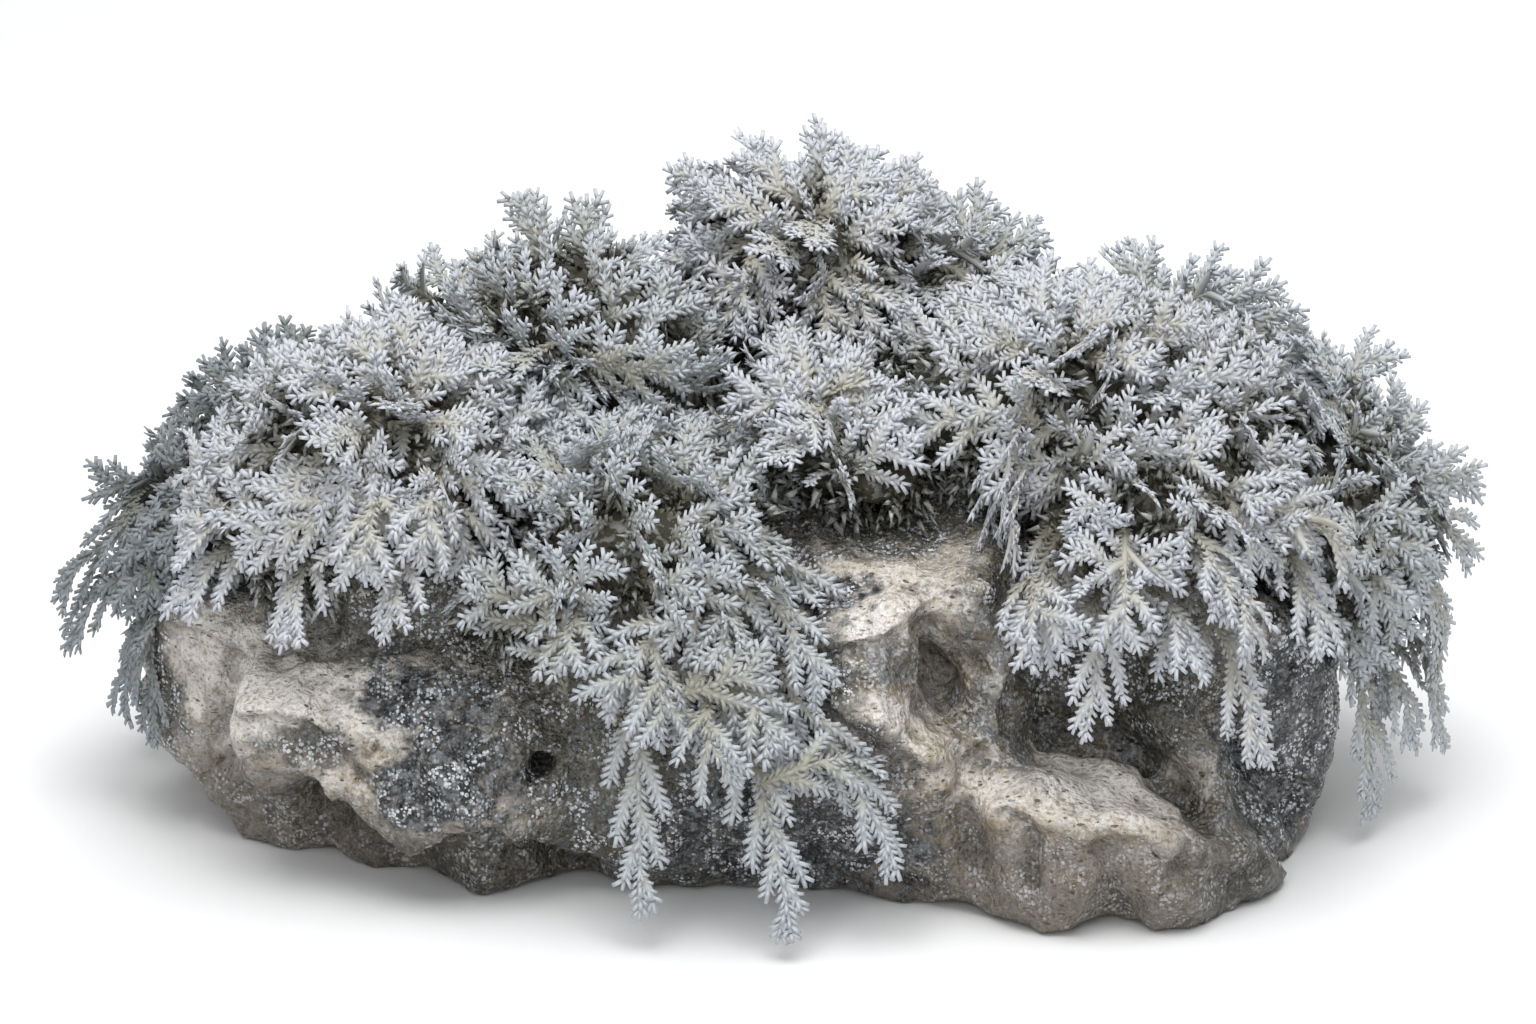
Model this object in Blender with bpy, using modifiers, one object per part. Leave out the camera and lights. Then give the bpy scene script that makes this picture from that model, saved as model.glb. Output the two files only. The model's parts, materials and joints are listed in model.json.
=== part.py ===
"""A clump of silvery feather moss growing over a loose, water-worn stone.

The stone is one solid: overlapping blocks fused into one lump, worn round, hollowed by scoops
and cut flat where it rests. Each tuft of moss is one solid of its outer form, from the stone up
to the tips of its sprays: a few domes and the tongues that hang from them, fused and then cut
clear of the stone and of the tufts in front of it. Units are metres, +Z is up, and the viewer of
the front stands on the -Y side. The origin is on the stone's resting face.
"""

import math

import bmesh
import bpy
from mathutils import Matrix, Vector

MM = 0.001

# Stone
STONE_VOXEL = 1.6 * MM
STONE_TRIANGLES = 3950
STONE_CLEARANCE_TRIANGLES = 1700
BLOCK_ROUNDING_STEPS = 2
HOLLOW_ROUNDING_STEPS = 1
# The size and the height of what weather added to the skin, coarse to fine.
STONE_WAVES = (24 * MM, 4 * MM)
SCOOP_WAVES = (9 * MM, 2.4 * MM)
STONE_DENTS = (7 * MM, 2.6 * MM)
BOREHOLE_RADIUS = 1.8 * MM
BOREHOLE_MOUTH = Vector((-30.0, -43.5, 20.5)) * MM
BOREHOLE_DEPTH = 9.0 * MM

# Moss
MOSS_VOXEL = 2.2 * MM
TUFT_TRIANGLES = 270
TUFT_CLEARANCE_TRIANGLES = 560
TUFT_LUMPS = (11 * MM, 4.5 * MM)
TONGUE_BEADS = 9
STONE_GAP = 2.0 * MM
TUFT_GAP = 1.6 * MM
CLEARANCE_VOXEL = 1.2 * MM
FLOOR_GAP = 0.6 * MM

# The stone's inner mass, block by block: centre, size and turns about Z, X and Y, in
# millimetres and degrees.
STONE_BLOCKS = {
    "core": ((1, 6, 22), (118, 64, 50), (0, 0, 0)),
    "crown": ((4, 10, 45), (96, 50, 30), (4, 0, 0)),
}

# The angular chunks that break its front and sides, each the hull of its corners in millimetres.
STONE_CHUNKS = {
    "left_block": [
        (-82, -15, 35), (-79, -20, 31), (-72, -24, 27), (-87, -9, 23), (-87, -8, 12), (-80, -14, 6),
        (-70, -18, 4), (-84, 14, 34), (-87, 16, 12), (-80, 16, 2), (-58, -18, 37), (-58, 20, 40),
        (-58, -14, 2), (-58, 20, -3),
    ],
    "left_step": [
        (-71, -26, 32), (-50, -25, 33), (-72, -36, 29), (-67, -39, 27), (-60, -39, 26), (-76, -33, 16),
        (-69, -36, 21), (-62, -36, 18), (-57, -37, 14), (-52, -36, 24), (-50, -28, 12), (-70, -18, 13),
        (-50, -10, 12), (-50, -10, 32),
    ],
    "step_foot": [
        (-77, -14, 5), (-75, -26, 15), (-60, -31, 14), (-73, -13, -3), (-60, -16, -3), (-50, -20, -3),
        (-50, -28, 14), (-60, 0, -3), (-70, 0, 14), (-50, 0, 14),
    ],
    "nose": [
        (-57, -38, 23), (-54, -41, 16), (-52, -41, 12), (-48, -41, 7), (-56, -29, 33), (-38, -27, 34),
        (-36, -40, 25), (-38, -42, 13), (-28, -39, 21), (-28, -39, 9), (-56, -20, 9), (-28, -18, 8),
        (-30, -22, 36),
    ],
    "nose_foot": [
        (-51, -23, -3), (-45, -29, -3), (-39, -34, -3), (-31, -28, -3), (-24, -25, -3), (-50, -28, 9),
        (-40, -37, 9), (-26, -34, 10), (-50, -8, -3), (-24, -8, -3), (-36, -8, 14),
    ],
    "centre": [
        (-32, -36, 22), (-30, -30, 38), (-12, -26, 46), (4, -32, 44), (5, -42, 32), (-4, -40, 20),
        (-28, -36, 9), (4, -40, 11), (-25, -26, -3), (-10, -25, -3), (4, -31, -3), (-30, 0, -3),
        (4, 0, -3), (-30, 0, 48), (4, 0, 50),
    ],
    "plateau": [
        (3, -43, 39), (13, -45, 40), (17, -44, 42), (18, -38, 43), (25, -34, 45), (31, -30, 46),
        (33, -20, 49), (20, -10, 51), (0, -10, 51), (-4, -37, 42), (5, -44, 32), (16, -44, 33),
        (18, -36, 32), (30, -24, 30), (2, -34, 20), (30, -10, 20), (0, -10, 20),
    ],
    "middle_ledge": [
        (4, -44, 33), (11, -48, 32), (17, -49, 33), (22, -49, 31), (26, -48, 28), (25, -47, 25),
        (21, -42, 14), (6, -42, 15), (3, -38, 14), (26, -30, 20), (22, -30, 34), (4, -30, 35),
    ],
    "middle_foot": [
        (3, -38, 17), (22, -43, 17), (27, -43, 12), (30, -42, 4), (29, -37, -3), (14, -30, -3),
        (3, -31, -3), (3, -16, -3), (34, -16, -3), (14, -16, 20),
    ],
    "pocket_wall": [
        (18, -36, 43), (25, -36, 46), (33, -38, 46), (34, -38, 40), (33, -39, 26), (35, -39, 20),
        (18, -36, 20), (32, -20, 48), (35, -20, 20), (18, -20, 20), (18, -20, 46),
    ],
    "ledge": [
        (26, -40, 23), (28, -49, 21), (34, -50, 18), (43, -52, 16), (48, -52, 17), (52, -51, 15),
        (58, -49, 13), (64, -45, 10), (70, -36, 9), (57, -33, 13), (48, -33, 19), (38, -33, 20),
        (30, -30, 22), (30, -43, 8), (60, -42, 5), (70, -32, 4), (30, -24, 4),
    ],
    "ledge_toe": [
        (29, -46, 11), (46, -48, 12), (43, -51, 8), (34, -50, 8), (31, -41, -3), (38, -47, -3),
        (45, -43, -3), (32, -24, -3), (46, -24, -3), (38, -24, 12),
    ],
    "ledge_heel": [
        (47, -48, 12), (60, -45, 9), (53, -51, 9), (49, -41, -3), (54, -47, -3), (62, -40, -3),
        (49, -24, -3), (62, -24, -3), (56, -24, 12),
    ],
    "ledge_tip": [
        (60, -43, 11), (71, -36, 9), (72, -34, 4), (63, -39, -3), (70, -35, -3), (72, -24, -3),
        (58, -20, -3), (60, -22, 13),
    ],
    "grey_rib": [
        (50, -31, 32), (54, -34, 25), (58, -35, 20), (61, -36, 16), (69, -36, 9), (65, -24, 9),
        (62, -20, 22), (58, -18, 36), (50, -18, 36), (56, -28, 4), (70, -30, 3),
    ],
    "right_rock": [
        (62, -25, 38), (74, -22, 36), (78, -17, 26), (80, -13, 14), (79, -13, 8), (74, -15, -3),
        (70, -24, -3), (66, -28, 5), (66, -28, 20), (58, -14, 42), (80, 22, 12), (76, 28, 32),
        (58, 32, 42), (76, 28, -3), (50, 30, -3), (50, -14, -3),
    ],
    "back_left": [
        (-62, 20, -3), (-68, 30, 10), (-62, 44, 14), (-42, 54, 16), (-32, 48, -3), (-56, 38, -3),
        (-66, 24, 33), (-54, 40, 38), (-30, 44, 42), (-30, 6, 46), (-60, 6, 42),
    ],
    "back_middle": [
        (-36, 44, -3), (-32, 52, 12), (-2, 60, 17), (16, 50, -3), (-28, 44, 42), (4, 52, 40),
        (14, 44, 49), (-30, 6, 50), (14, 6, 52),
    ],
    "back_right": [
        (10, 50, -3), (18, 58, 10), (40, 55, 15), (58, 44, 10), (66, 30, -3), (54, 42, -3),
        (22, 50, 40), (42, 47, 42), (62, 32, 34), (10, 6, 48), (66, 6, 38),
    ],
}

# Each hollow worn into it: centre, radii and turns about Z and Y, in millimetres and degrees.
STONE_SCOOPS = {
    "alcove": ((44, -37, 31), (10, 13, 13), (-6, 0)),
    "alcove_roof": ((41, -36, 42), (11, 14, 9), (0, 10)),
    "pocket_bowl": ((27, -49, 34), (6.5, 13, 12), (0, 6)),
    "pocket_eye": ((21.5, -41, 32), (3.4, 12, 5.6), (-16, 0)),
    "shelf_hollow": ((27.5, -46, 22), (3.2, 8, 3), (0, 20)),
    "crevice": ((65.5, -33, 14), (2.6, 9, 13), (0, -24)),
    "left_crevice": ((-74, -30, 22), (3.2, 8, 12), (-16, -12)),
    "step_groove": ((-58, -43, 19), (2.6, 6, 6), (0, 24)),
    "left_undercut": ((-61, -36, 4), (11, 15, 9), (12, 0)),
    "far_left_undercut": ((-84, -24, -2), (12, 12, 9), (20, 0)),
    "nose_undercut": ((-33, -46, 3), (13, 10, 7), (0, -6)),
    "middle_undercut": ((0, -48, 2), (20, 12, 9), (0, 3)),
    "ledge_bay": ((32, -57, 12), (7.5, 8, 5), (0, 8)),
    "ledge_nick": ((47, -53, 1), (4, 8, 5), (0, 0)),
    "tip_nick": ((61, -49, 3), (3.5, 7, 5), (0, 0)),
    "plateau_dish": ((15, -16, 55), (13, 9, 6), (-10, 0)),
    "plateau_curl": ((19, -33, 47), (3, 4, 3), (20, 0)),
    "milky_face": ((10, -54, 37), (9, 10, 5), (0, 0)),
    "right_hollow": ((88, -12, 10), (10, 12, 11), (0, 0)),
    "back_scoop": ((-34, 60, 26), (14, 14, 9), (12, 20)),
    "back_cleft": ((-20, 58, 14), (4, 12, 16), (0, -20)),
    "back_hollow": ((30, 62, 30), (12, 14, 9), (0, -10)),
    "back_bowl": ((48, 58, 6), (12, 14, 9), (-30, 0)),
    "back_undercut": ((-2, 64, 0), (26, 14, 8), (6, 0)),
    "back_left_undercut": ((-60, 48, 0), (14, 12, 8), (30, 0)),
}

# Each tuft, front ones first: domes as centre and radii, and tongues as the points that the
# spray follows with its radius where it leaves the tuft and at its tip. All in millimetres.
TUFTS = {
    "left_mound": {
        "domes": [((-52, -14, 55), (26, 22, 18)), ((-62, -19, 50), (17, 16, 13))],
        "tongues": [
            (((-66, -24, 52), (-75, -29, 48), (-79, -31, 41)), 6, 2.5),
            (((-60, -26, 52), (-63, -35, 47), (-64, -39, 40)), 6, 2.5),
            (((-48, -28, 52), (-50, -38, 49), (-50, -42, 43)), 6, 2.5),
            (((-37, -24, 54), (-31, -32, 50), (-29, -36, 45)), 5, 2.5),
        ],
    },
    "front_drape": {
        "domes": [
            ((-17, -27, 48), (21, 17, 14)),
            ((-29, -32, 42), (13, 12, 9)),
            ((-13, -15, 53), (17, 14, 10)),
        ],
        "tongues": [
            (((-36, -34, 44), (-38, -41, 41), (-39, -43, 36)), 5, 2.5),
            (((-27, -38, 40), (-27, -46, 33), (-25, -50, 23)), 6, 2.6),
            (((-18, -38, 42), (-17, -49, 28), (-17, -53, 6)), 6, 2.8),
            (((-8, -38, 42), (0, -51, 26), (3, -56, 4)), 7, 2.8),
            (((-5, -36, 43), (10, -48, 30), (17, -53, 12)), 6, 2.6),
            (((-4, -34, 48), (4, -42, 44), (7, -46, 35)), 6, 2.6),
        ],
    },
    "right_mound": {
        "domes": [
            ((40, -8, 62), (27, 21, 16)),
            ((52, -20, 52), (21, 17, 14)),
            ((60, -8, 57), (16, 19, 15)),
        ],
        "tongues": [
            (((38, -28, 52), (36, -41, 46), (35, -45, 38)), 6, 2.6),
            (((44, -30, 50), (45, -45, 43), (42, -49, 30)), 7, 2.8),
            (((56, -28, 48), (62, -41, 40), (66, -44, 24)), 7, 2.8),
            (((50, -30, 49), (54, -43, 42), (56, -46, 33)), 6, 2.6),
            (((66, -20, 52), (73, -30, 45), (75, -34, 36)), 6, 2.6),
        ],
    },
    "middle_tuft": {
        "domes": [((9, -12, 58), (17, 15, 12)), ((14, -20, 56), (12, 10, 8))],
        "tongues": [
            (((2, -18, 56), (-3, -27, 57), (-5, -31, 53)), 5, 2.5),
            (((18, -20, 58), (24, -26, 59), (27, -29, 55)), 5, 2.5),
        ],
    },
    "upper_left_tuft": {
        "domes": [((-28, 2, 66), (19, 17, 17)), ((-16, -4, 63), (14, 13, 12))],
        "tongues": [
            (((-34, 4, 70), (-40, 5, 77), (-43, 7, 82)), 5, 2.5),
            (((-28, 4, 72), (-32, 6, 80), (-34, 8, 86)), 5, 2.5),
            (((-26, 4, 72), (-25, 6, 80), (-25, 8, 85)), 5, 2.5),
            (((-22, 4, 70), (-20, 6, 78), (-18, 8, 84)), 5, 2.5),
            (((-14, -2, 66), (-7, -5, 74), (-4, -8, 76)), 5, 2.5),
        ],
    },
    "crown_tuft": {
        "domes": [
            ((6, 20, 68), (22, 20, 19)),
            ((20, 18, 64), (17, 16, 15)),
            ((14, 6, 58), (22, 14, 12)),
        ],
        "tongues": [
            (((0, 20, 76), (-8, 21, 82), (-12, 22, 86)), 5, 2.5),
            (((2, 20, 78), (-1, 22, 84), (-2, 24, 89)), 5, 2.5),
            (((6, 20, 78), (7, 22, 86), (8, 24, 91)), 5, 2.5),
            (((14, 20, 76), (18, 22, 80), (20, 24, 86)), 5, 2.5),
            (((24, 20, 68), (29, 22, 75), (32, 24, 77)), 5, 2.5),
        ],
    },
    "right_drape": {
        "domes": [((79, 2, 41), (15, 24, 20)), ((74, 8, 50), (14, 18, 14))],
        "tongues": [
            (((82, 4, 50), (86, 6, 54), (89, 8, 55)), 5, 2.5),
            (((84, 2, 47), (93, 3, 50), (99, 4, 46)), 5, 2.5),
            (((86, 0, 44), (95, 0, 44), (98, 1, 37)), 5, 2.5),
            (((86, -2, 38), (93, -2, 36), (94, -2, 26)), 5, 2.5),
            (((86, -3, 34), (94, -4, 24), (95, -4, 10)), 5, 2.5),
            (((83, -6, 32), (89, -9, 24), (90, -10, 13)), 5, 2.5),
            (((80, -8, 32), (84, -15, 20), (84, -16, 5)), 5, 2.5),
            (((84, 14, 42), (93, 17, 34), (95, 18, 20)), 6, 2.6),
        ],
    },
    "left_drape": {
        "domes": [((-68, 10, 41), (20, 24, 19)), ((-77, 5, 33), (14, 20, 16))],
        "tongues": [
            (((-86, 4, 38), (-95, 1, 34), (-98, 0, 23)), 5, 2.5),
            (((-84, -2, 34), (-90, -6, 28), (-90, -7, 17)), 5, 2.5),
            (((-84, 6, 42), (-95, 6, 39), (-100, 4, 29)), 5, 2.5),
            (((-84, 8, 42), (-91, 8, 44), (-94, 8, 45)), 5, 2.5),
            (((-76, 10, 46), (-82, 12, 52), (-84, 13, 55)), 5, 2.5),
            (((-70, 12, 52), (-75, 14, 58), (-77, 14, 60)), 5, 2.5),
            (((-80, -8, 34), (-85, -11, 26), (-86, -12, 14)), 5, 2.5),
            (((-86, 16, 32), (-92, 18, 24), (-92, 18, 10)), 5, 2.5),
        ],
    },
    "right_back_tuft": {
        "domes": [((54, 18, 54), (25, 20, 15)), ((68, 20, 44), (16, 20, 16))],
        "tongues": [
            (((56, 16, 62), (60, 18, 70), (61, 20, 75)), 5, 2.5),
            (((48, 16, 62), (49, 18, 69), (50, 20, 73)), 5, 2.5),
            (((66, 20, 56), (70, 20, 63), (71, 20, 67)), 5, 2.5),
            (((72, 18, 52), (78, 16, 59), (81, 14, 61)), 5, 2.5),
        ],
    },
    "back_left_tuft": {
        "domes": [
            ((-36, 30, 48), (32, 20, 20)),
            ((-58, 30, 36), (20, 20, 19)),
            ((-26, 20, 54), (22, 18, 14)),
        ],
        "tongues": [
            (((-56, 26, 56), (-58, 27, 63), (-59, 28, 67)), 5, 2.5),
            (((-46, 26, 60), (-48, 25, 67), (-49, 25, 71)), 5, 2.5),
            (((-64, 24, 48), (-67, 23, 55), (-68, 22, 60)), 5, 2.5),
            (((-58, 42, 38), (-63, 54, 30), (-64, 58, 16)), 7, 3),
            (((-42, 44, 42), (-42, 57, 32), (-41, 61, 16)), 7, 3),
            (((-24, 44, 46), (-20, 57, 38), (-19, 61, 24)), 7, 3),
        ],
    },
    "back_right_tuft": {
        "domes": [((16, 38, 55), (32, 20, 20)), ((46, 36, 45), (24, 20, 20))],
        "tongues": [
            (((30, 28, 66), (33, 25, 72), (34, 23, 76)), 5, 2.5),
            (((4, 50, 46), (4, 61, 36), (4, 65, 20)), 7, 3),
            (((26, 50, 44), (28, 61, 32), (29, 64, 14)), 7, 3),
            (((48, 46, 40), (53, 57, 30), (55, 60, 14)), 7, 3),
            (((64, 38, 38), (75, 44, 28), (78, 46, 14)), 7, 3),
        ],
    },
}


def clear_scene():
    """Removes every object, so that only the model is left."""
    for obj in list(bpy.data.objects):
        bpy.data.objects.remove(obj)


def new_collection(name, hidden=False):
    """A collection in the scene; a hidden one holds cutters."""
    collection = bpy.data.collections.new(name)
    collection.hide_render = hidden
    bpy.context.scene.collection.children.link(collection)
    return collection


def new_material(name, colour, roughness):
    """A plain Principled material in one colour."""
    material = bpy.data.materials.new(name)
    material.use_nodes = True
    shader = material.node_tree.nodes["Principled BSDF"]
    shader.inputs["Base Color"].default_value = (*colour, 1.0)
    shader.inputs["Roughness"].default_value = roughness
    shader.inputs["Metallic"].default_value = 0.0
    return material


def placed(centre, size, turn_z=0.0, turn_x=0.0, turn_y=0.0):
    """The matrix that puts a unit primitive at centre, in millimetres and degrees."""
    turned = (
        Matrix.Rotation(math.radians(turn_z), 4, "Z")
        @ Matrix.Rotation(math.radians(turn_x), 4, "X")
        @ Matrix.Rotation(math.radians(turn_y), 4, "Y")
    )
    scaled = Matrix.Diagonal((*(s * MM for s in size), 1.0))
    return Matrix.Translation(Vector(centre) * MM) @ turned @ scaled


def as_cutter(obj):
    """Marks an object as a cutter, which isn't part of the model."""
    obj.display_type = "WIRE"
    obj.hide_render = True
    return obj


def object_of(name, shape, collection, material=None):
    """An object that holds the bmesh, which is freed."""
    mesh = bpy.data.meshes.new(name)
    shape.to_mesh(mesh)
    shape.free()
    if material:
        mesh.materials.append(material)
    obj = bpy.data.objects.new(name, mesh)
    collection.objects.link(obj)
    return obj


def add_remesh(obj, voxel):
    """Fuses overlapping shapes into one skin."""
    modifier = obj.modifiers.new("fuse", "REMESH")
    modifier.mode = "VOXEL"
    modifier.voxel_size = voxel


def add_rounding(obj, steps):
    """Wears the edges round."""
    modifier = obj.modifiers.new("wear", "SMOOTH")
    modifier.iterations = steps


def add_noise(obj, name, scale, strength):
    """Pushes the skin in and out by a cloud texture of that scale."""
    texture = bpy.data.textures.new(f"{obj.name}_{name}", "CLOUDS")
    texture.noise_scale = scale
    modifier = obj.modifiers.new(name, "DISPLACE")
    modifier.texture = texture
    modifier.texture_coords = "GLOBAL"
    modifier.strength = strength
    modifier.mid_level = 0.5


def add_cut(obj, cutter, solver="EXACT"):
    """Cuts with a closed mesh."""
    modifier = obj.modifiers.new(cutter.name, "BOOLEAN")
    modifier.operation = "DIFFERENCE"
    modifier.solver = solver
    modifier.object = cutter


def add_growth(obj, distance):
    """Moves the whole skin outwards."""
    modifier = obj.modifiers.new("grow", "DISPLACE")
    modifier.strength = distance
    modifier.mid_level = 0.0


def apply_modifiers(obj):
    """Makes what the viewport shows the object's own mesh."""
    graph = bpy.context.evaluated_depsgraph_get()
    mesh = bpy.data.meshes.new_from_object(obj.evaluated_get(graph))
    obj.modifiers.clear()
    old = obj.data
    obj.data = mesh
    bpy.data.meshes.remove(old)
    mesh.name = obj.name


def thin_out(obj, triangles):
    """Reduces the skin to about that many triangles."""
    faces = sum(len(polygon.vertices) - 2 for polygon in obj.data.polygons)
    modifier = obj.modifiers.new("thin", "DECIMATE")
    modifier.ratio = min(1.0, triangles / faces)
    apply_modifiers(obj)


def keep_largest_shell(obj):
    """Removes the crumbs that a cut leaves beside the main body."""
    shape = bmesh.new()
    shape.from_mesh(obj.data)
    unseen = set(shape.verts)
    shells = []
    while unseen:
        front = [unseen.pop()]
        shell = set(front)
        while front:
            for edge in front.pop().link_edges:
                for vertex in edge.verts:
                    if vertex in unseen:
                        unseen.remove(vertex)
                        shell.add(vertex)
                        front.append(vertex)
        shells.append(shell)
    largest = max(shells, key=len)
    crumbs = [vertex for shell in shells if shell is not largest for vertex in shell]
    bmesh.ops.delete(shape, geom=crumbs, context="VERTS")
    shape.to_mesh(obj.data)
    shape.free()


def shade(obj):
    """Smooth shading with the crisp edges kept."""
    obj.data.shade_smooth()
    obj.data.set_sharp_from_angle(angle=math.radians(50))


def scoop(name, centre, radii, turn, cutters):
    """A hollow's cutter: a dented ellipsoid."""
    shape = bmesh.new()
    matrix = placed(centre, radii, turn_z=turn[0], turn_y=turn[1])
    bmesh.ops.create_icosphere(shape, subdivisions=4, radius=1.0, matrix=matrix)
    cutter = as_cutter(object_of(f"scoop_{name}", shape, cutters))
    add_noise(cutter, "waves", *SCOOP_WAVES)
    return cutter


def borehole(cutters):
    """The cutter of the small round hole that runs into the front of the stone."""
    shape = bmesh.new()
    along = Matrix.Translation(BOREHOLE_MOUTH) @ Matrix.Rotation(math.radians(90), 4, "X")
    bmesh.ops.create_cone(
        shape,
        cap_ends=True,
        segments=20,
        radius1=BOREHOLE_RADIUS * 0.8,
        radius2=BOREHOLE_RADIUS,
        depth=2 * BOREHOLE_DEPTH,
        matrix=along,
    )
    return as_cutter(object_of("borehole", shape, cutters))


def ground_block(cutters):
    """Everything below the plane that the stone is cut flat on."""
    shape = bmesh.new()
    matrix = placed((0, 0, -50), (400, 400, 100))
    bmesh.ops.create_cube(shape, size=1.0, matrix=matrix)
    return as_cutter(object_of("ground", shape, cutters))


def add_chunk(shape, corners):
    """Adds the convex hull of the corners, given in millimetres."""
    points = [shape.verts.new(Vector(corner) * MM) for corner in corners]
    hull = bmesh.ops.convex_hull(shape, input=points)
    inside = [item for item in hull["geom_interior"] if isinstance(item, bmesh.types.BMVert)]
    bmesh.ops.delete(shape, geom=inside, context="VERTS")


def make_stone(parts, cutters, material):
    """The stone: fused blocks, hollowed, worn round and flat below."""
    shape = bmesh.new()
    for centre, size, turn in STONE_BLOCKS.values():
        matrix = placed(centre, size, *turn)
        bmesh.ops.create_cube(shape, size=1.0, matrix=matrix)
    for corners in STONE_CHUNKS.values():
        add_chunk(shape, corners)
    stone = object_of("stone", shape, parts, material)
    add_remesh(stone, STONE_VOXEL)
    add_rounding(stone, BLOCK_ROUNDING_STEPS)
    add_noise(stone, "waves", *STONE_WAVES)
    apply_modifiers(stone)
    for name, (centre, radii, turn) in STONE_SCOOPS.items():
        add_cut(stone, scoop(name, centre, radii, turn, cutters))
    add_remesh(stone, STONE_VOXEL)
    add_rounding(stone, HOLLOW_ROUNDING_STEPS)
    add_noise(stone, "dents", *STONE_DENTS)
    apply_modifiers(stone)
    thin_out(stone, STONE_TRIANGLES)
    return stone


def finish_stone(stone, cutters):
    """Drills the stone and cuts its resting face."""
    add_cut(stone, borehole(cutters))
    add_cut(stone, ground_block(cutters))
    apply_modifiers(stone)
    keep_largest_shell(stone)
    shade(stone)


def clearance_of(obj, gap, triangles, cutters):
    """A cutter that is the object with its skin moved outwards by the gap."""
    cutter = as_cutter(bpy.data.objects.new(f"clear_of_{obj.name}", obj.data.copy()))
    cutters.objects.link(cutter)
    add_growth(cutter, gap)
    add_remesh(cutter, CLEARANCE_VOXEL)
    apply_modifiers(cutter)
    thin_out(cutter, triangles)
    return cutter


def bead(shape, centre, radii):
    """One ellipsoid of a tuft's form, in millimetres."""
    bmesh.ops.create_icosphere(shape, subdivisions=3, radius=1.0, matrix=placed(centre, radii))


def tongue(shape, path, root_radius, tip_radius):
    """A hanging or rising spray as a row of beads that taper along a curve of three points."""
    start, bend, end = (Vector(point) for point in path)
    end += (bend - end).normalized() * tip_radius
    for step in range(TONGUE_BEADS):
        share = step / (TONGUE_BEADS - 1)
        centre = start * (1 - share) ** 2 + bend * 2 * share * (1 - share) + end * share**2
        radius = root_radius + (tip_radius - root_radius) * share
        bead(shape, centre, (radius, radius, radius))


def make_tuft(name, form, parts, material):
    """The outer form of one tuft, before anything is cut from it."""
    shape = bmesh.new()
    for centre, radii in form["domes"]:
        bead(shape, centre, radii)
    for path, root_radius, tip_radius in form["tongues"]:
        tongue(shape, path, root_radius, tip_radius)
    tuft = object_of(name, shape, parts, material)
    add_remesh(tuft, MOSS_VOXEL)
    add_noise(tuft, "lumps", *TUFT_LUMPS)
    apply_modifiers(tuft)
    thin_out(tuft, TUFT_TRIANGLES)
    return tuft


def main():
    """Builds the stone, then each tuft on it, front ones first."""
    clear_scene()
    parts = new_collection("moss_clump")
    cutters = new_collection("cutters", hidden=True)
    stone_material = new_material("weathered_stone", (0.52, 0.47, 0.4), 0.45)
    moss_material = new_material("silver_moss", (0.55, 0.56, 0.55), 0.8)

    stone = make_stone(parts, cutters, stone_material)
    stone_clearance = clearance_of(stone, STONE_GAP, STONE_CLEARANCE_TRIANGLES, cutters)
    finish_stone(stone, cutters)

    floor = ground_block(cutters)
    floor.location.z = FLOOR_GAP
    clearances = [stone_clearance, floor]
    for name, form in TUFTS.items():
        tuft = make_tuft(name, form, parts, moss_material)
        own_clearance = clearance_of(tuft, TUFT_GAP, TUFT_CLEARANCE_TRIANGLES, cutters)
        for clearance in clearances:
            add_cut(tuft, clearance, "MANIFOLD")
        apply_modifiers(tuft)
        keep_largest_shell(tuft)
        shade(tuft)
        clearances.append(own_clearance)


main()
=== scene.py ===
"""The looks of a clump of silvery feather moss that grows over a loose, water-worn stone.

The stone is remeshed from its solid, sculpted and weathered. Each tuft of moss is a dark thatch
with flat feathery sprays on it: branch lines are grown over the tuft's solid, and Geometry Nodes
clothe them with small blunt lobes. Lengths are metres unless a name says otherwise, +Z is up and
the viewer of the front stands on the -Y side.
"""

from __future__ import annotations

import json
import logging
import math
from dataclasses import dataclass, field
from enum import Enum
from functools import cached_property

import bmesh
import bpy
import numpy as np
from mathutils import Matrix, Vector
from mathutils.bvhtree import BVHTree

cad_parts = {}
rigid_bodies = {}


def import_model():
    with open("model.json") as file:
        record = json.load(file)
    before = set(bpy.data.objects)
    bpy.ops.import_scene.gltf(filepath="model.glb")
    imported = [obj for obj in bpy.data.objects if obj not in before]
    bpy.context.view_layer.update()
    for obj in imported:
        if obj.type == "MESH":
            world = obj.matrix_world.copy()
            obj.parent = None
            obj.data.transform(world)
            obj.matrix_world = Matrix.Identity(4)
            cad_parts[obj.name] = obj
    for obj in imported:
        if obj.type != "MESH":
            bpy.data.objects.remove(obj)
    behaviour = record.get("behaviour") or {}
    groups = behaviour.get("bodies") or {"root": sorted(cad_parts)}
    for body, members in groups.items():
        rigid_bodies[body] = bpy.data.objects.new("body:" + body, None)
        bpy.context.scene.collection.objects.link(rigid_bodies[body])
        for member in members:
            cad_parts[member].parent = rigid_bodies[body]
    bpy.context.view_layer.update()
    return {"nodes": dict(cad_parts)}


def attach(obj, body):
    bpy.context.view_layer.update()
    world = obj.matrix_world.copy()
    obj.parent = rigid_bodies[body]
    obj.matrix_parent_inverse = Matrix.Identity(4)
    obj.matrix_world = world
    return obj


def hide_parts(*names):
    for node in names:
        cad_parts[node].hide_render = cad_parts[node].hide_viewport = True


LOG = logging.getLogger("moss_clump")
MM = 0.001
UP = Vector((0.0, 0.0, 1.0))
BODY = "root"
FIRST_SEED = 40
MERGE_DISTANCE = 0.02 * MM

Colour = tuple[float, float, float, float]
Point = tuple[float, float, float]
Path = tuple[Point, Point, Point]
Curve = tuple[Vector, Vector, Vector]


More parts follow.
